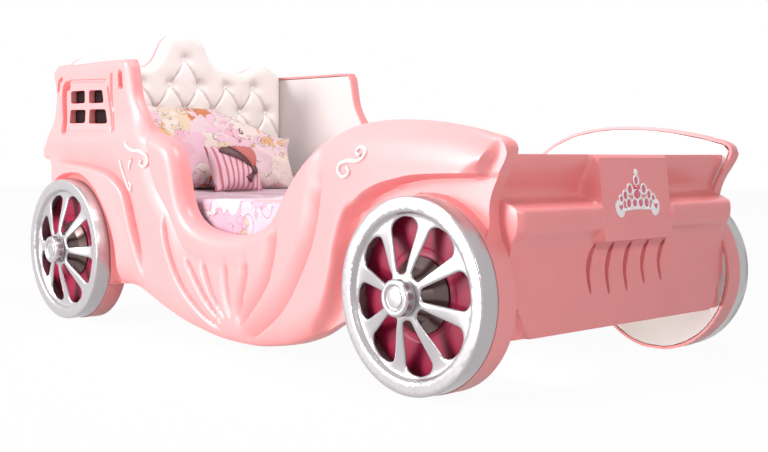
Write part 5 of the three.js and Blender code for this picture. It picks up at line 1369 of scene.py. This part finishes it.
# Scroll ornaments on the side panels
SCROLLS = {
    "front_scroll": [(-0.525, 0.618), (-0.537, 0.602), (-0.517, 0.589), (-0.497, 0.602),
                     (-0.498, 0.625), (-0.527, 0.636), (-0.562, 0.636), (-0.585, 0.65),
                     (-0.585, 0.668), (-0.565, 0.676), (-0.556, 0.66), (-0.57, 0.652)],
    "rear_scroll_upper": [(0.466, 0.694), (0.461, 0.677), (0.432, 0.661), (0.393, 0.658),
                          (0.361, 0.642), (0.355, 0.62), (0.368, 0.602), (0.386, 0.61),
                          (0.38, 0.626)],
    "rear_scroll_comma": [(0.43, 0.628), (0.442, 0.612), (0.445, 0.592)],
    "rear_scroll_lower": [(0.497, 0.624), (0.488, 0.589), (0.473, 0.545), (0.462, 0.52),
                          (0.445, 0.516), (0.437, 0.532), (0.449, 0.542)],
}
SCROLL_HALF_WIDTH = 0.0060
SCROLL_HEIGHT = 0.007
SCROLL_SINK = 0.003
SCROLL_FLAT = -0.001
SCROLL_SECTION = 12
SCROLL_STEP = 0.003
SCROLL_TAPER = (0.62, 1.05)
SCROLL_TAPER_POWER = 0.8
SCROLL_BUD = 0.35
SCROLL_BUD_REACH = 0.04


def scroll_mesh(shares):
    """A raised curl that follows the panel's surface, a little bud at each end."""
    line = smooth_line(side_points(shares), SCROLL_STEP)
    base = side_stand(line)
    along = np.linspace(0, 1, len(line))
    taper = mix(*SCROLL_TAPER, np.sin(math.pi * along) ** SCROLL_TAPER_POWER)
    buds = bell(along, SCROLL_BUD_REACH) + bell(1 - along, SCROLL_BUD_REACH)
    width = SCROLL_HALF_WIDTH * (taper + SCROLL_BUD * buds)
    side = beside(line, 1.0) - line
    verts = []
    for angle in np.arange(SCROLL_SECTION) * 2 * math.pi / SCROLL_SECTION:
        lift = SCROLL_HEIGHT * math.sin(angle)
        verts.append(at_height(line + side * (width * math.cos(angle))[:, None],
                               base - SCROLL_SINK * (lift < 0) + max(lift, SCROLL_FLAT)))
    count = len(line)
    faces = hose(verts, strip)
    ends = []
    for i, turn in ((0, 1), (count - 1, -1)):
        faces += fan(len(verts) * count + len(ends),
                     [k * count + i for k in range(SCROLL_SECTION)], turn)
        ends.append((*line[i], base[i] + SCROLL_HEIGHT / 3))
    return np.vstack([*verts, ends]), np.array(faces)


def make_scrolls():
    for name, shares in SCROLLS.items():
        verts, faces = scroll_mesh(shares)
        for hand, sign in HANDS:
            add_piece(f"{name}_{hand}.moulded", side_frame(sign)(verts), faces, SCROLL_WHITE,
                      "white_plastic", [f"{name}_{hand}"], 60)


# Tiara: wire ovals in rows, each filled with a coloured stone, on the foot panel's plate
TIARA_OVALS = [
    (0, 0.088, 0.0095, 0.0115), (-0.027, 0.067, 0.0105, 0.012), (0.027, 0.067, 0.0105, 0.012),
    (0, 0.054, 0.0155, 0.0125), (-0.046, 0.053, 0.0095, 0.0115), (0.046, 0.053, 0.0095, 0.0115),
    (-0.062, 0.045, 0.008, 0.009), (0.062, 0.045, 0.008, 0.009),
    (-0.034, 0.034, 0.0105, 0.0125), (-0.0115, 0.034, 0.0105, 0.0115),
    (0.0115, 0.034, 0.0105, 0.0115), (0.034, 0.034, 0.0105, 0.0125),
]
TIARA_HEARTS = [(0, 0.071, 0.0085), (-0.068, 0.026, 0.008), (0.068, 0.026, 0.008)]
TIARA_ENDS = [(-0.069, 0.022, 0.016, 0.021, 0.35), (0.069, 0.022, 0.016, 0.021, -0.35)]
TIARA_TOP = (0, 0.107, 0.0062, 0.0085)
TIARA_CENTRE = FOOT_UNDERSIDE + 0.77 * FOOT_RISE
TIARA_HEIGHT = 0.122
TIARA_SCALE = (1.14, 1.09, 1.0)
TIARA_BASE_HALF_WIDTH = 0.06
TIARA_BASE_UP = 0.0165
TIARA_BASE_RISE = 0.004
TIARA_BASE_POINTS = 40
BEAD_PLACES = np.linspace(-0.05, 0.05, 9)
BEAD_RADII = (0.0045, 0.0042)
BEAD_UP = 0.018
BEAD_POINTS = 16
TIARA_WIRE = 0.0022
OVAL_POINTS = 32
HEART_POINTS = 36
STONE_LOW = 0.0004
STONE_HEIGHTS = {"oval": 0.0026, "end": 0.0042, "top": 0.006, "bead": 0.0062, "heart": 0.0066}
STONE_GIRDLE = 0.45
STONE_TABLE = 0.35


def on_plate(points):
    """From the tiara's own axes, across, up and out, to the bed's."""
    rise = PLATE_TOP - PLATE_BOTTOM
    slope = (PLATE_BOTTOM_DEPTH - PLATE_TOP_DEPTH) / rise
    length = math.hypot(1, slope)
    depth = mix(PLATE_BOTTOM_DEPTH, PLATE_TOP_DEPTH, (TIARA_CENTRE - PLATE_BOTTOM) / rise)
    up = (points[:, 1] - TIARA_HEIGHT / 2) / length
    out = points[:, 2] / length
    return np.column_stack([points[:, 0], FOOT_INNER_Y - depth + slope * up - out,
                            TIARA_CENTRE + up + slope * out])


def heart(across, up, size):
    t = np.arange(HEART_POINTS) * 2 * math.pi / HEART_POINTS
    x = np.sin(t) ** 3
    y = (13 * np.cos(t) - 5 * np.cos(2 * t) - 2 * np.cos(3 * t) - np.cos(4 * t)) / 15
    return np.column_stack([across + size * x, up + size * y])[::-1]


def stone(loop, kind):
    """A cut stone: a flat table with bevelled sides over a closed loop."""
    high = STONE_HEIGHTS[kind]
    return loft([at_height(loop, STONE_LOW), at_height(loop, mix(STONE_LOW, high, STONE_GIRDLE)),
                 at_height(mix(loop, loop.mean(axis=0), STONE_TABLE), high)])


def tiara_wire():
    """The wire round each oval, the ends, the top, and the base with its row of beads."""
    wires = [tube(at_height(oval((across, up), (rx, ry), OVAL_POINTS), TIARA_WIRE * 0.8),
                  TIARA_WIRE) for across, up, rx, ry in TIARA_OVALS]
    wires += [stone(oval((across, up), (rx, ry), OVAL_POINTS, turn), "end")
              for across, up, rx, ry, turn in TIARA_ENDS]
    wires.append(stone(oval(TIARA_TOP[:2], TIARA_TOP[2:], OVAL_POINTS), "top"))
    sag = np.linspace(-1, 1, TIARA_BASE_POINTS)
    base = np.column_stack([sag * TIARA_BASE_HALF_WIDTH,
                            TIARA_BASE_UP + TIARA_BASE_RISE * (1 - sag**2)])
    wires.append(tube(at_height(base, TIARA_WIRE), TIARA_WIRE * 1.2, endless=False))
    for place in BEAD_PLACES:
        up = BEAD_UP + TIARA_BASE_RISE * (1 - (place / TIARA_BASE_HALF_WIDTH) ** 2)
        wires.append(stone(oval((place, up), BEAD_RADII, BEAD_POINTS), "bead"))
    return wires


def tiara_stones():
    ovals = [oval((across, up), (rx - TIARA_WIRE, ry - TIARA_WIRE), OVAL_POINTS)
             for across, up, rx, ry in TIARA_OVALS]
    return [*[stone(loop, "oval") for loop in ovals],
            *[stone(heart(*place), "heart") for place in TIARA_HEARTS]]


def make_tiara():
    for name, meshes, material, slot, nodes in (
            ("tiara_wire", tiara_wire(), WHITE_GLOSS, "white_plastic", ["tiara"]),
            ("tiara_stones", tiara_stones(), TIARA_STONE, "magenta_plastic", [])):
        verts, faces = joined(meshes)
        add_piece(name, on_plate(verts * TIARA_SCALE), faces, material, slot, nodes, 40)


# Bedding
MATTRESS_HALF = (0.45, 0.95)
MATTRESS_MIDDLE = 0.0025
MATTRESS_BASE = 0.2503
MATTRESS_HEIGHT = 0.185
MATTRESS_TOP = MATTRESS_BASE + MATTRESS_HEIGHT
MATTRESS_CORNER = 0.045
MATTRESS_EDGE = 0.016
MATTRESS_SIDE_INSET = 0.002
MATTRESS_SIDE_MARGIN = 0.02
MATTRESS_STEP = 0.02
MATTRESS_FACE_INSET = 0.2
COVER_GAP = 0.001
COVER_THICKNESS = 0.004
COVER_DROP = 0.120
COVER_STEP = 0.012
COVER_TOP_INSET = 0.010
COVER_TOP_STEP = 0.014
COVER_TOP_SINK = 0.0005
COVER_UNDER_INSET = 0.012
COVER_UNDER_STEP = 0.06
COVER_OUTER_EDGE = (0.003, 0.001)
COVER_UNDER_EDGE = (0.004, -0.002)
COVER_OUT = 0.0015
COVER_IN = 0.001
COVER_FOLD_PITCH = 0.095
COVER_FOLD_DRIFT = (0.9, 2.3)
COVER_FOLD_REACH = 0.0065
COVER_FOLD_PACE = 1.2
COVER_HEM_WAVE = (0.004, 11.0)
COVER_HANG = 0.0012
COVER_SHOULDER = 0.006
COVER_DROP_ROWS = 14
COVER_CREASES = 26
COVER_CREASE_LENGTHS = (0.10, 0.28)
COVER_CREASE_FIELD = (0.42, 0.92)
COVER_CREASE_STEP = 0.03
COVER_CREASE_HEIGHT = 0.0035
COVER_CREASE_LIMIT = 0.007
COVER_CREASE_WIDTH = 0.011
COVER_CREASE_BEND = 0.25
COVER_CREASE_EDGE = 0.03
BED_TOP = MATTRESS_TOP + COVER_GAP + COVER_THICKNESS


def rounded_rectangle(half_width, half_length, radius, step):
    points = []
    for k, (sx, sy) in enumerate(((1, 1), (-1, 1), (-1, -1), (1, -1))):
        turn = np.linspace(k * math.pi / 2, (k + 1) * math.pi / 2, 7)
        points.append(np.column_stack([sx * (half_width - radius) + radius * np.cos(turn),
                                       sy * (half_length - radius) + radius * np.sin(turn)]))
    corners = np.vstack([*points, points[0][:1]])
    length = running_length(corners)
    at = np.linspace(0, length[-1], round(length[-1] / step) + 1)[:-1]
    return even_steps(corners, at, length)


def make_mattress():
    body = rounded_rectangle(*MATTRESS_HALF, MATTRESS_CORNER, MATTRESS_STEP)
    top = MATTRESS_HEIGHT
    turns = np.linspace(0, 1, 6) * math.pi / 2
    edge = [(MATTRESS_EDGE * (1 - math.sin(a)), MATTRESS_EDGE * (1 - math.cos(a))) for a in turns]
    sides = np.linspace(MATTRESS_SIDE_MARGIN, top - MATTRESS_SIDE_MARGIN, 10)
    rows = [(MATTRESS_FACE_INSET, 0.0), *edge, *[(MATTRESS_SIDE_INSET, up) for up in sides],
            *[(inward, top - up) for inward, up in edge[::-1]], (MATTRESS_FACE_INSET, top)]
    verts, faces = loft([at_height(inset(body, inward), up) for inward, up in rows])
    piece = add_piece("soft_mattress", verts + (0, MATTRESS_MIDDLE, MATTRESS_BASE), faces,
                      TICKING, "ticking", ["mattress"], 60)


def cover_creases(p):
    """Soft creases on the top of the cover, each at a place of its own."""
    rise = np.zeros(len(p))
    for _ in range(COVER_CREASES):
        angle = noise.uniform(0, math.pi)
        length = noise.uniform(*COVER_CREASE_LENGTHS)
        centre = np.array([noise.uniform(-half, half) for half in COVER_CREASE_FIELD])
        end = length * np.array((math.cos(angle), math.sin(angle)))
        middle = centre + COVER_CREASE_BEND * np.array((-end[1], end[0]))
        distance, _, along = to_line(p, smooth_line(
            [centre - end, middle, centre + end], COVER_CREASE_STEP))
        rise += COVER_CREASE_HEIGHT * bell(distance, COVER_CREASE_WIDTH) * np.sin(math.pi * along)
    return np.minimum(rise, COVER_CREASE_LIMIT)


def cover_rings(body):
    """The cover's outer and inner rows from the mattress's edge down to the hem and back."""
    place = np.arange(len(body)) * COVER_STEP
    size, pace = COVER_FOLD_DRIFT
    wave = 0.5 + 0.5 * np.sin(2 * math.pi * place / COVER_FOLD_PITCH + size * np.sin(place * pace))
    outward = inset(body, -1.0) - body
    top, low = MATTRESS_TOP + COVER_GAP, MATTRESS_TOP - COVER_DROP
    outer = [at_height(inset(body, COVER_OUTER_EDGE[0]), top + COVER_OUTER_EDGE[1])]
    under = [at_height(inset(body, COVER_UNDER_EDGE[0]), top + COVER_UNDER_EDGE[1])]
    for share in np.linspace(0, 1, COVER_DROP_ROWS):
        reach = COVER_HANG + COVER_FOLD_REACH * wave * smooth(share * COVER_FOLD_PACE)
        hem = COVER_HEM_WAVE[0] * np.sin(place * COVER_HEM_WAVE[1]) * share
        up = mix(top - COVER_SHOULDER, low, share) + hem
        outer.append(at_height(body + outward * (reach + COVER_OUT)[:, None], up))
        under.append(at_height(body + outward * (reach - COVER_IN)[:, None], up))
    return [*outer, *under[::-1]]


def make_cover():
    """A bedspread laid over the mattress, its edge hanging in folds down the sides."""
    half = np.array(MATTRESS_HALF)
    body = rounded_rectangle(*(half + COVER_GAP), MATTRESS_CORNER, COVER_STEP)
    count = len(body)
    top = MATTRESS_TOP + COVER_GAP
    inner_loop = inset(body, COVER_TOP_INSET)
    points, front_faces, rows = triangulate([inner_loop], fill_points(inner_loop, COVER_TOP_STEP))
    edge = to_line(points, closed(inner_loop))[0]
    crown = top + COVER_THICKNESS - COVER_TOP_SINK \
        + cover_creases(points) * smooth(edge / COVER_CREASE_EDGE)
    flat_loop = inset(body, COVER_UNDER_INSET)
    under_points, under_faces, (low_row,) = triangulate(
        [flat_loop], fill_points(flat_loop, COVER_UNDER_STEP))
    rings = cover_rings(body)
    verts = [at_height(points, crown), *rings, at_height(under_points, top)]
    start = len(points)
    rows += [range(start + k * count, start + (k + 1) * count) for k in range(len(rings))]
    start += len(rings) * count
    rows.append([start + i for i in low_row])
    faces = [*front_faces.tolist(), *(under_faces[:, ::-1] + start).tolist()]
    for upper, lower in zip(rows, rows[1:]):
        faces += wall(upper, lower)
    piece = add_piece("bedspread_cloth", np.vstack(verts) + (0, MATTRESS_MIDDLE, 0),
                      np.array(faces), COTTON_PALE, "cotton", ["bedspread"], 70)


# Pillow and small cushion
CUSHION_POWER = 0.42
CUSHION_PULL = 0.09
CUSHION_LEAST_SWELL = 0.001
CORNER_CREASE_ANGLES = (0.35, 0.62, 0.95, 1.2)
CORNER_CREASE_WIDTH = 0.014
CORNER_CREASE_START = 0.05
CORNER_CREASE_REACH = 0.45
DIMPLES = 14
DIMPLE_FIELD = 0.4
DIMPLE_SIZE = (0.09, 0.02)
DIMPLE_STRENGTH = 0.5
CUSHION_LIFT = 0.0005
PILLOW_SIZE = (0.83, 0.35, 0.075)
PILLOW_GRID = (120, 70)
PILLOW_WRINKLE = 0.009
PILLOW_TILT = 66
PILLOW_ACROSS = 0.010
PILLOW_BACK = 0.972
PILLOW_FRONT = 0.760
PILLOW_SEAM_RADIUS = 0.0022
SLUMP = 0.38
SLUMP_START = 0.02
SLUMP_REACH = 0.40
SLUMP_FORWARD = 0.6
CUSHION_SIZE = (0.215, 0.18, 0.042)
CUSHION_GRID = (56, 50)
CUSHION_WRINKLE = 0.005
CUSHION_TILT = 66
CUSHION_ACROSS = 0.005
CUSHION_BACK = 0.7275
BOW_KNOT = (0.058, -0.022)
BOW_RIM = [(-0.070, 0.058), (-0.058, 0.074), (-0.020, 0.080), (0.030, 0.083), (0.086, 0.078),
           (0.096, 0.060)]
BOW_SPLIT = 0.30
BOW_OVERLAP = 0.05
BOW_LIFT = 0.004
BOW_BACK_SINK = 0.001
BOW_PUFF = 0.012
BOW_PUFF_POWER = 0.8
BOW_RIPPLE = 0.0024
BOW_FOLDS = {"front": 5, "back": 2}
BOW_THICKNESS = 0.0024
BOW_RIM_STEP = 0.004
BOW_FLAP_POINTS = 44
BOW_FLAP_ROWS = 18
BOW_START = 0.06
KNOT_LIFT = 0.006
KNOT_TOP = 0.016
KNOT_LENGTH = 0.034
KNOT_WIDTHS = (0.004, 0.009)
TAIL_WAY = (-0.032, -0.030)
TAIL_TOP = -0.006
TAIL_WIDTHS = (0.006, 0.011)
RIBBON_THICKNESS = 0.003
RIBBON_PUFF = 0.3
RIBBON_BACK_SHARE = 0.1
RIBBON_SECTION = 14
RIBBON_POINTS = 12


def crowned(u, v):
    """Share of a cushion's full thickness at a place that runs from -1 to 1 each way."""
    return np.maximum((1 - u * u) * (1 - v * v), 0) ** CUSHION_POWER


def seen_from(x, y, place, way):
    """How far points lie from a place along a way, and how far to the way's left."""
    dx, dy = x - place[0], y - place[1]
    return dx * way[0] + dy * way[1], dy * way[0] - dx * way[1]


def wrinkles(x, y, width, height):
    """Creases that run in from the corners, and soft dents and rises at random places."""
    total = np.zeros(x.shape)
    reach = CORNER_CREASE_REACH * height
    for sx in (-1, 1):
        for sy in (-1, 1):
            for angle in CORNER_CREASE_ANGLES:
                way = (-sx * math.cos(angle), -sy * math.sin(angle))
                t, off = seen_from(x, y, (sx * width / 2, sy * height / 2), way)
                total -= bell(off, CORNER_CREASE_WIDTH) * clamp(t / CORNER_CREASE_START) \
                    * clamp((reach - t) / reach)
    for _ in range(DIMPLES):
        place = [noise.uniform(-DIMPLE_FIELD, DIMPLE_FIELD) * size for size in (width, height)]
        angle = noise.uniform(0, math.pi)
        t, off = seen_from(x, y, place, (math.cos(angle), math.sin(angle)))
        total += DIMPLE_STRENGTH * bell(t, DIMPLE_SIZE[0]) * bell(off, DIMPLE_SIZE[1])
    return total


def cushion_mesh(size, grid, wrinkle):
    """A crowned cushion, thin at its seam, with sides drawn in and creases from its corners."""
    width, height, crown = size
    columns, rows = grid
    u, v = (np.sin(a * math.pi / 2) for a in np.meshgrid(
        np.linspace(-1, 1, columns + 1), np.linspace(-1, 1, rows + 1), indexing="ij"))
    x = width / 2 * u * (1 - CUSHION_PULL * (1 - v * v) * u * u)
    y = height / 2 * v * (1 - CUSHION_PULL * (1 - u * u) * v * v)
    swell = crown * crowned(u, v) + wrinkle * wrinkles(x, y, width, height)
    swell = np.maximum(swell, CUSHION_LEAST_SWELL)
    ring = [*[(i, 0) for i in range(columns)], *[(columns, j) for j in range(rows)],
            *[(i, rows) for i in range(columns, 0, -1)], *[(0, j) for j in range(rows, 0, -1)]]
    seam = np.array([(x[i, j], y[i, j], 0) for i, j in ring])
    inner = [(i, j) for i in range(1, columns) for j in range(1, rows)]
    verts, faces = [seam], []
    for n, face in enumerate((1, -1)):
        verts.append(np.array([(x[i, j], y[i, j], face * swell[i, j]) for i, j in inner]))
        start = len(ring) + n * len(inner)
        index = {place: k for k, place in enumerate(ring)}
        index.update({place: start + k for k, place in enumerate(inner)})
        for i in range(columns):
            for j in range(rows):
                a, b = index[i, j], index[i + 1, j]
                c, d = index[i + 1, j + 1], index[i, j + 1]
                faces += [(a, b, c)[::face], (a, c, d)[::face]]
    return np.vstack(verts), np.array(faces), seam


def lean(points, reference, tilt, across, back_edge):
    """Turns points about X and sets them as the reference stands on the cover, leaning back."""
    turn = math.radians(tilt)
    matrix = np.array([[1, 0, 0], [0, math.cos(turn), -math.sin(turn)],
                       [0, math.sin(turn), math.cos(turn)]])
    placed = reference @ matrix.T
    up = BED_TOP + CUSHION_LIFT - placed[:, 2].min()
    return points @ matrix.T + (across, back_edge - placed[:, 1].max(), up)


def slumped(points):
    """The pillow's right end sinks and comes forward."""
    rise = points[:, 2] - BED_TOP
    drop = SLUMP * smooth((points[:, 0] - SLUMP_START) / SLUMP_REACH)
    moved = points.copy()
    moved[:, 1] = np.maximum(points[:, 1] - SLUMP_FORWARD * drop * rise, PILLOW_FRONT)
    moved[:, 2] = BED_TOP + rise * (1 - drop)
    return moved


def make_pillow():
    verts, faces, seam = cushion_mesh(PILLOW_SIZE, PILLOW_GRID, PILLOW_WRINKLE)
    placed, seam = (slumped(lean(points, verts, PILLOW_TILT, PILLOW_ACROSS, PILLOW_BACK))
                    for points in (verts, seam))
    piece = add_piece("soft_pillow", placed, faces, COTTON, "cotton", ["pillow"], 80)
    add_piece("pillow_seam", *tube(seam, PILLOW_SEAM_RADIUS), COTTON_PALE, "cotton", [], 60)


def make_cushion():
    verts, faces, _ = cushion_mesh(CUSHION_SIZE, CUSHION_GRID, CUSHION_WRINKLE)
    piece = add_piece("soft_cushion", on_bed(verts, verts), faces, STRIPED, "cotton",
                      ["bow_cushion"], 80)
    front = bow_flap(BOW_SPLIT, 1, BOW_FOLDS["front"], BOW_LIFT)
    # The front loops take the russet ribbon; the back loop, knot and tail take its darker copy,
    # which is painted shade
    for name, (points, faces), material in (("bow_loops", front, RUSSET),
                                            ("bow_knot", joined(bow_knot()), SHADED_RIBBON)):
        add_piece(name, on_bed(points, verts), faces, material, "cotton", [], 70)


def on_bed(points, reference):
    return lean(points, reference, CUSHION_TILT, CUSHION_ACROSS, CUSHION_BACK)


def on_cushion(points):
    """How high the small cushion's front stands over its middle plane."""
    width, height, crown = CUSHION_SIZE
    return crown * crowned(clamp(points[:, 0] / (width / 2), -1, 1),
                           clamp(points[:, 1] / (height / 2), -1, 1))


def ribbon(line, widths, lifts):
    """A band of cloth along a line in the cushion's plane, bulging off the cushion."""
    across = left_of(unit(np.gradient(line, axis=0)))
    rings = []
    for point, side, width, lift in zip(line, across, widths, lifts):
        angle = np.arange(RIBBON_SECTION) * 2 * math.pi / RIBBON_SECTION
        puff = RIBBON_PUFF * width * np.where(np.sin(angle) > 0, 1, RIBBON_BACK_SHARE)
        bulge = lift + (RIBBON_THICKNESS + puff) * np.sin(angle)
        rings.append(at_height(point + side * width * np.cos(angle)[:, None], bulge))
    return loft(rings)


def bow_flap(low, high, folds, lift):
    """A pleated flap of the bow, from its knot to a share of its rim."""
    rim = smooth_line(BOW_RIM, BOW_RIM_STEP)
    share = np.linspace(low, high, BOW_FLAP_POINTS)
    ends = even_steps(rim, share, np.linspace(0, 1, len(rim)))
    ripple = BOW_RIPPLE * np.cos(2 * math.pi * folds * (share - low) / (high - low))
    rings = []
    for t in np.linspace(BOW_START, 1, BOW_FLAP_ROWS):
        place = mix(np.array(BOW_KNOT), ends, t)
        puff = BOW_PUFF * math.sin(math.pi * t**BOW_PUFF_POWER)
        up = on_cushion(place) + lift + puff + ripple * t
        rings.append(np.vstack([at_height(place, up + BOW_THICKNESS / 2),
                                at_height(place, up - BOW_THICKNESS / 2)[::-1]]))
    return loft(rings)


def bow_knot():
    """The back loop, the knot and one tail, which make_cushion colours with the ribbon's painted
    shade.
    """
    share = np.linspace(0, 1, RIBBON_POINTS)
    height = np.full(RIBBON_POINTS, on_cushion(np.array([BOW_KNOT]))[0] + BOW_LIFT + KNOT_LIFT)
    line = BOW_KNOT + np.column_stack([0 * share, KNOT_TOP - KNOT_LENGTH * share])
    tail = np.array(BOW_KNOT) + (0, TAIL_TOP) + share[:, None] * TAIL_WAY
    return [bow_flap(0, BOW_SPLIT + BOW_OVERLAP, BOW_FOLDS["back"], BOW_LIFT - BOW_BACK_SINK),
            ribbon(line, KNOT_WIDTHS[0] + KNOT_WIDTHS[1] * np.sin(math.pi * share) ** 0.5, height),
            ribbon(tail, TAIL_WIDTHS[0] + TAIL_WIDTHS[1] * share, on_cushion(tail) + BOW_LIFT)]


# CAD nodes that stay as they are take a fuller material
def finish_cad_nodes():
    ends = [f"{end}_bracket_{hand}" for end in ("foot", "head") for hand, _ in HANDS]
    for material, names in (
            (WHITE_BOARD, ["side_board_left", "side_board_right", "foot_board"]),
            (BOARD_PINK, ["headboard_board"]),
            # the window backs take the near-black painted shade
            (WINDOW_SHADE_SHEET, ["window_back_left", "window_back_right"]),
            (PINE, ["side_rail_left", "side_rail_right", *[f"slat_{i:02d}" for i in range(1, 15)]]),
            (STEEL, ends)):
        for name in names:
            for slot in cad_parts[name].material_slots:
                slot.material = material


# Camera, floor, world and lamps
FLOOR_HALF_SIZE = 14.0
FLOOR_SINK = 0.0005
FLOOR_GREYS = [(0.4, linear(204, 204, 204)), (0.6, linear(210, 210, 210))]
FLOOR_WHITE_SHARE = 0.96
WORLD_STRENGTH = 0.33

# Each lamp's name, place, target, size in metres and power in watts
LAMPS = [
    ("key", (-8.5, 4.4, 4.6), (0, 0, 0.4), (3.2, 2.4), 1090),
    ("low", (-6.0, 2.2, 0.4), (-0.5, 0.1, 0.3), (3.0, 0.9), 250),
    ("front", (-1.5, -3.6, 2.0), (0, -1.0, 0.25), (0.9, 0.6), 37),
    ("top", (-0.3, -0.7, 2.7), (0, 0.5, 0.5), (0.9, 0.9), 56),
    ("under", (-0.2, -0.75, 0.07), (0.47, -0.86, 0.12), (0.4, 0.08), 2.4),
]


def aim_camera():
    forward = Vector((math.sin(CAMERA_HEADING) * math.cos(CAMERA_TILT),
                      math.cos(CAMERA_HEADING) * math.cos(CAMERA_TILT), math.sin(CAMERA_TILT)))
    right = Vector((math.cos(CAMERA_HEADING), -math.sin(CAMERA_HEADING), 0))
    up = right.cross(forward)
    cos, sin = math.cos(CAMERA_ROLL), math.sin(CAMERA_ROLL)
    right, up = cos * right + sin * up, cos * up - sin * right
    camera = bpy.data.objects.new("camera", bpy.data.cameras.new("camera"))
    camera.data.sensor_width = SENSOR_WIDTH
    camera.data.lens = FOCAL_PIXELS / PICTURE_WIDTH * SENSOR_WIDTH
    rows = [(right[i], up[i], -forward[i], CAMERA_PLACE[i]) for i in range(3)]
    camera.matrix_world = Matrix((*rows, (0, 0, 0, 1)))
    bpy.context.collection.objects.link(camera)
    bpy.context.scene.camera = camera


def white_ray(tree):
    """1 for camera, glossy and transmission rays, which see the background as white."""
    rays = add_node(tree, "LightPath").outputs
    seen = calculate(tree, "MAXIMUM", rays["Is Camera Ray"], rays["Is Glossy Ray"])
    return calculate(tree, "MAXIMUM", seen, rays["Is Transmission Ray"])


def blend_shaders(tree, factor, first, second, output):
    blend = add_node(tree, "MixShader", {"Fac": factor, 1: first, 2: second})
    tree.links.new(blend.outputs["Shader"], tree.nodes[output].inputs["Surface"])


def make_floor():
    """A pale floor that the camera sees as white and that keeps the bed's soft shadow."""
    finish = Finish("studio_floor", {"Roughness": 0.9, "Specular IOR Level": 0.1})
    cloud = add_node(finish.tree, "TexNoise", Scale=0.8).outputs["Fac"]
    finish.tint(cloud, *FLOOR_GREYS)
    glow = add_node(finish.tree, "Emission", Strength=1.0).outputs["Emission"]
    share = finish.calculate("MULTIPLY", white_ray(finish.tree), FLOOR_WHITE_SHARE)
    blend_shaders(finish.tree, share, finish.shader.outputs["BSDF"], glow, "Material Output")
    corners = at_height(rectangle(FLOOR_HALF_SIZE, -FLOOR_HALF_SIZE, FLOOR_HALF_SIZE), 0.0)
    floor = make_object("floor", corners, [(0, 1, 2), (0, 2, 3)], finish.material, 38)
    floor.location.z = -FLOOR_SINK


def light_world():
    world = bpy.data.worlds.new("studio")
    bpy.context.scene.world = world
    world.use_nodes = True
    tree = world.node_tree
    lit = tree.nodes["Background"]
    lit.inputs["Color"].default_value = WHITE
    lit.inputs["Strength"].default_value = WORLD_STRENGTH
    seen = add_node(tree, "Background", Color=WHITE, Strength=1.0)
    blend_shaders(tree, white_ray(tree), lit.outputs["Background"], seen.outputs["Background"],
                  "World Output")


def add_lamp(name, place, target, size, power):
    lamp = bpy.data.objects.new(name, bpy.data.lights.new(name, "AREA"))
    lamp.data.shape = "RECTANGLE"
    lamp.data.size, lamp.data.size_y = size
    lamp.data.energy = power
    lamp.location = place
    direction = Vector(target) - Vector(place)
    lamp.rotation_euler = direction.to_track_quat("-Z", "Y").to_euler()
    bpy.context.collection.objects.link(lamp)


make_side_shells()
make_foot_shell()
make_pad()
make_buttons()
make_wheels()
make_scrolls()
make_tiara()
make_mattress()
make_cover()
make_pillow()
make_cushion()
finish_cad_nodes()

aim_camera()
make_floor()
light_world()
for lamp in LAMPS:
    add_lamp(*lamp)

view = bpy.context.scene.view_settings
view.view_transform = "Standard"
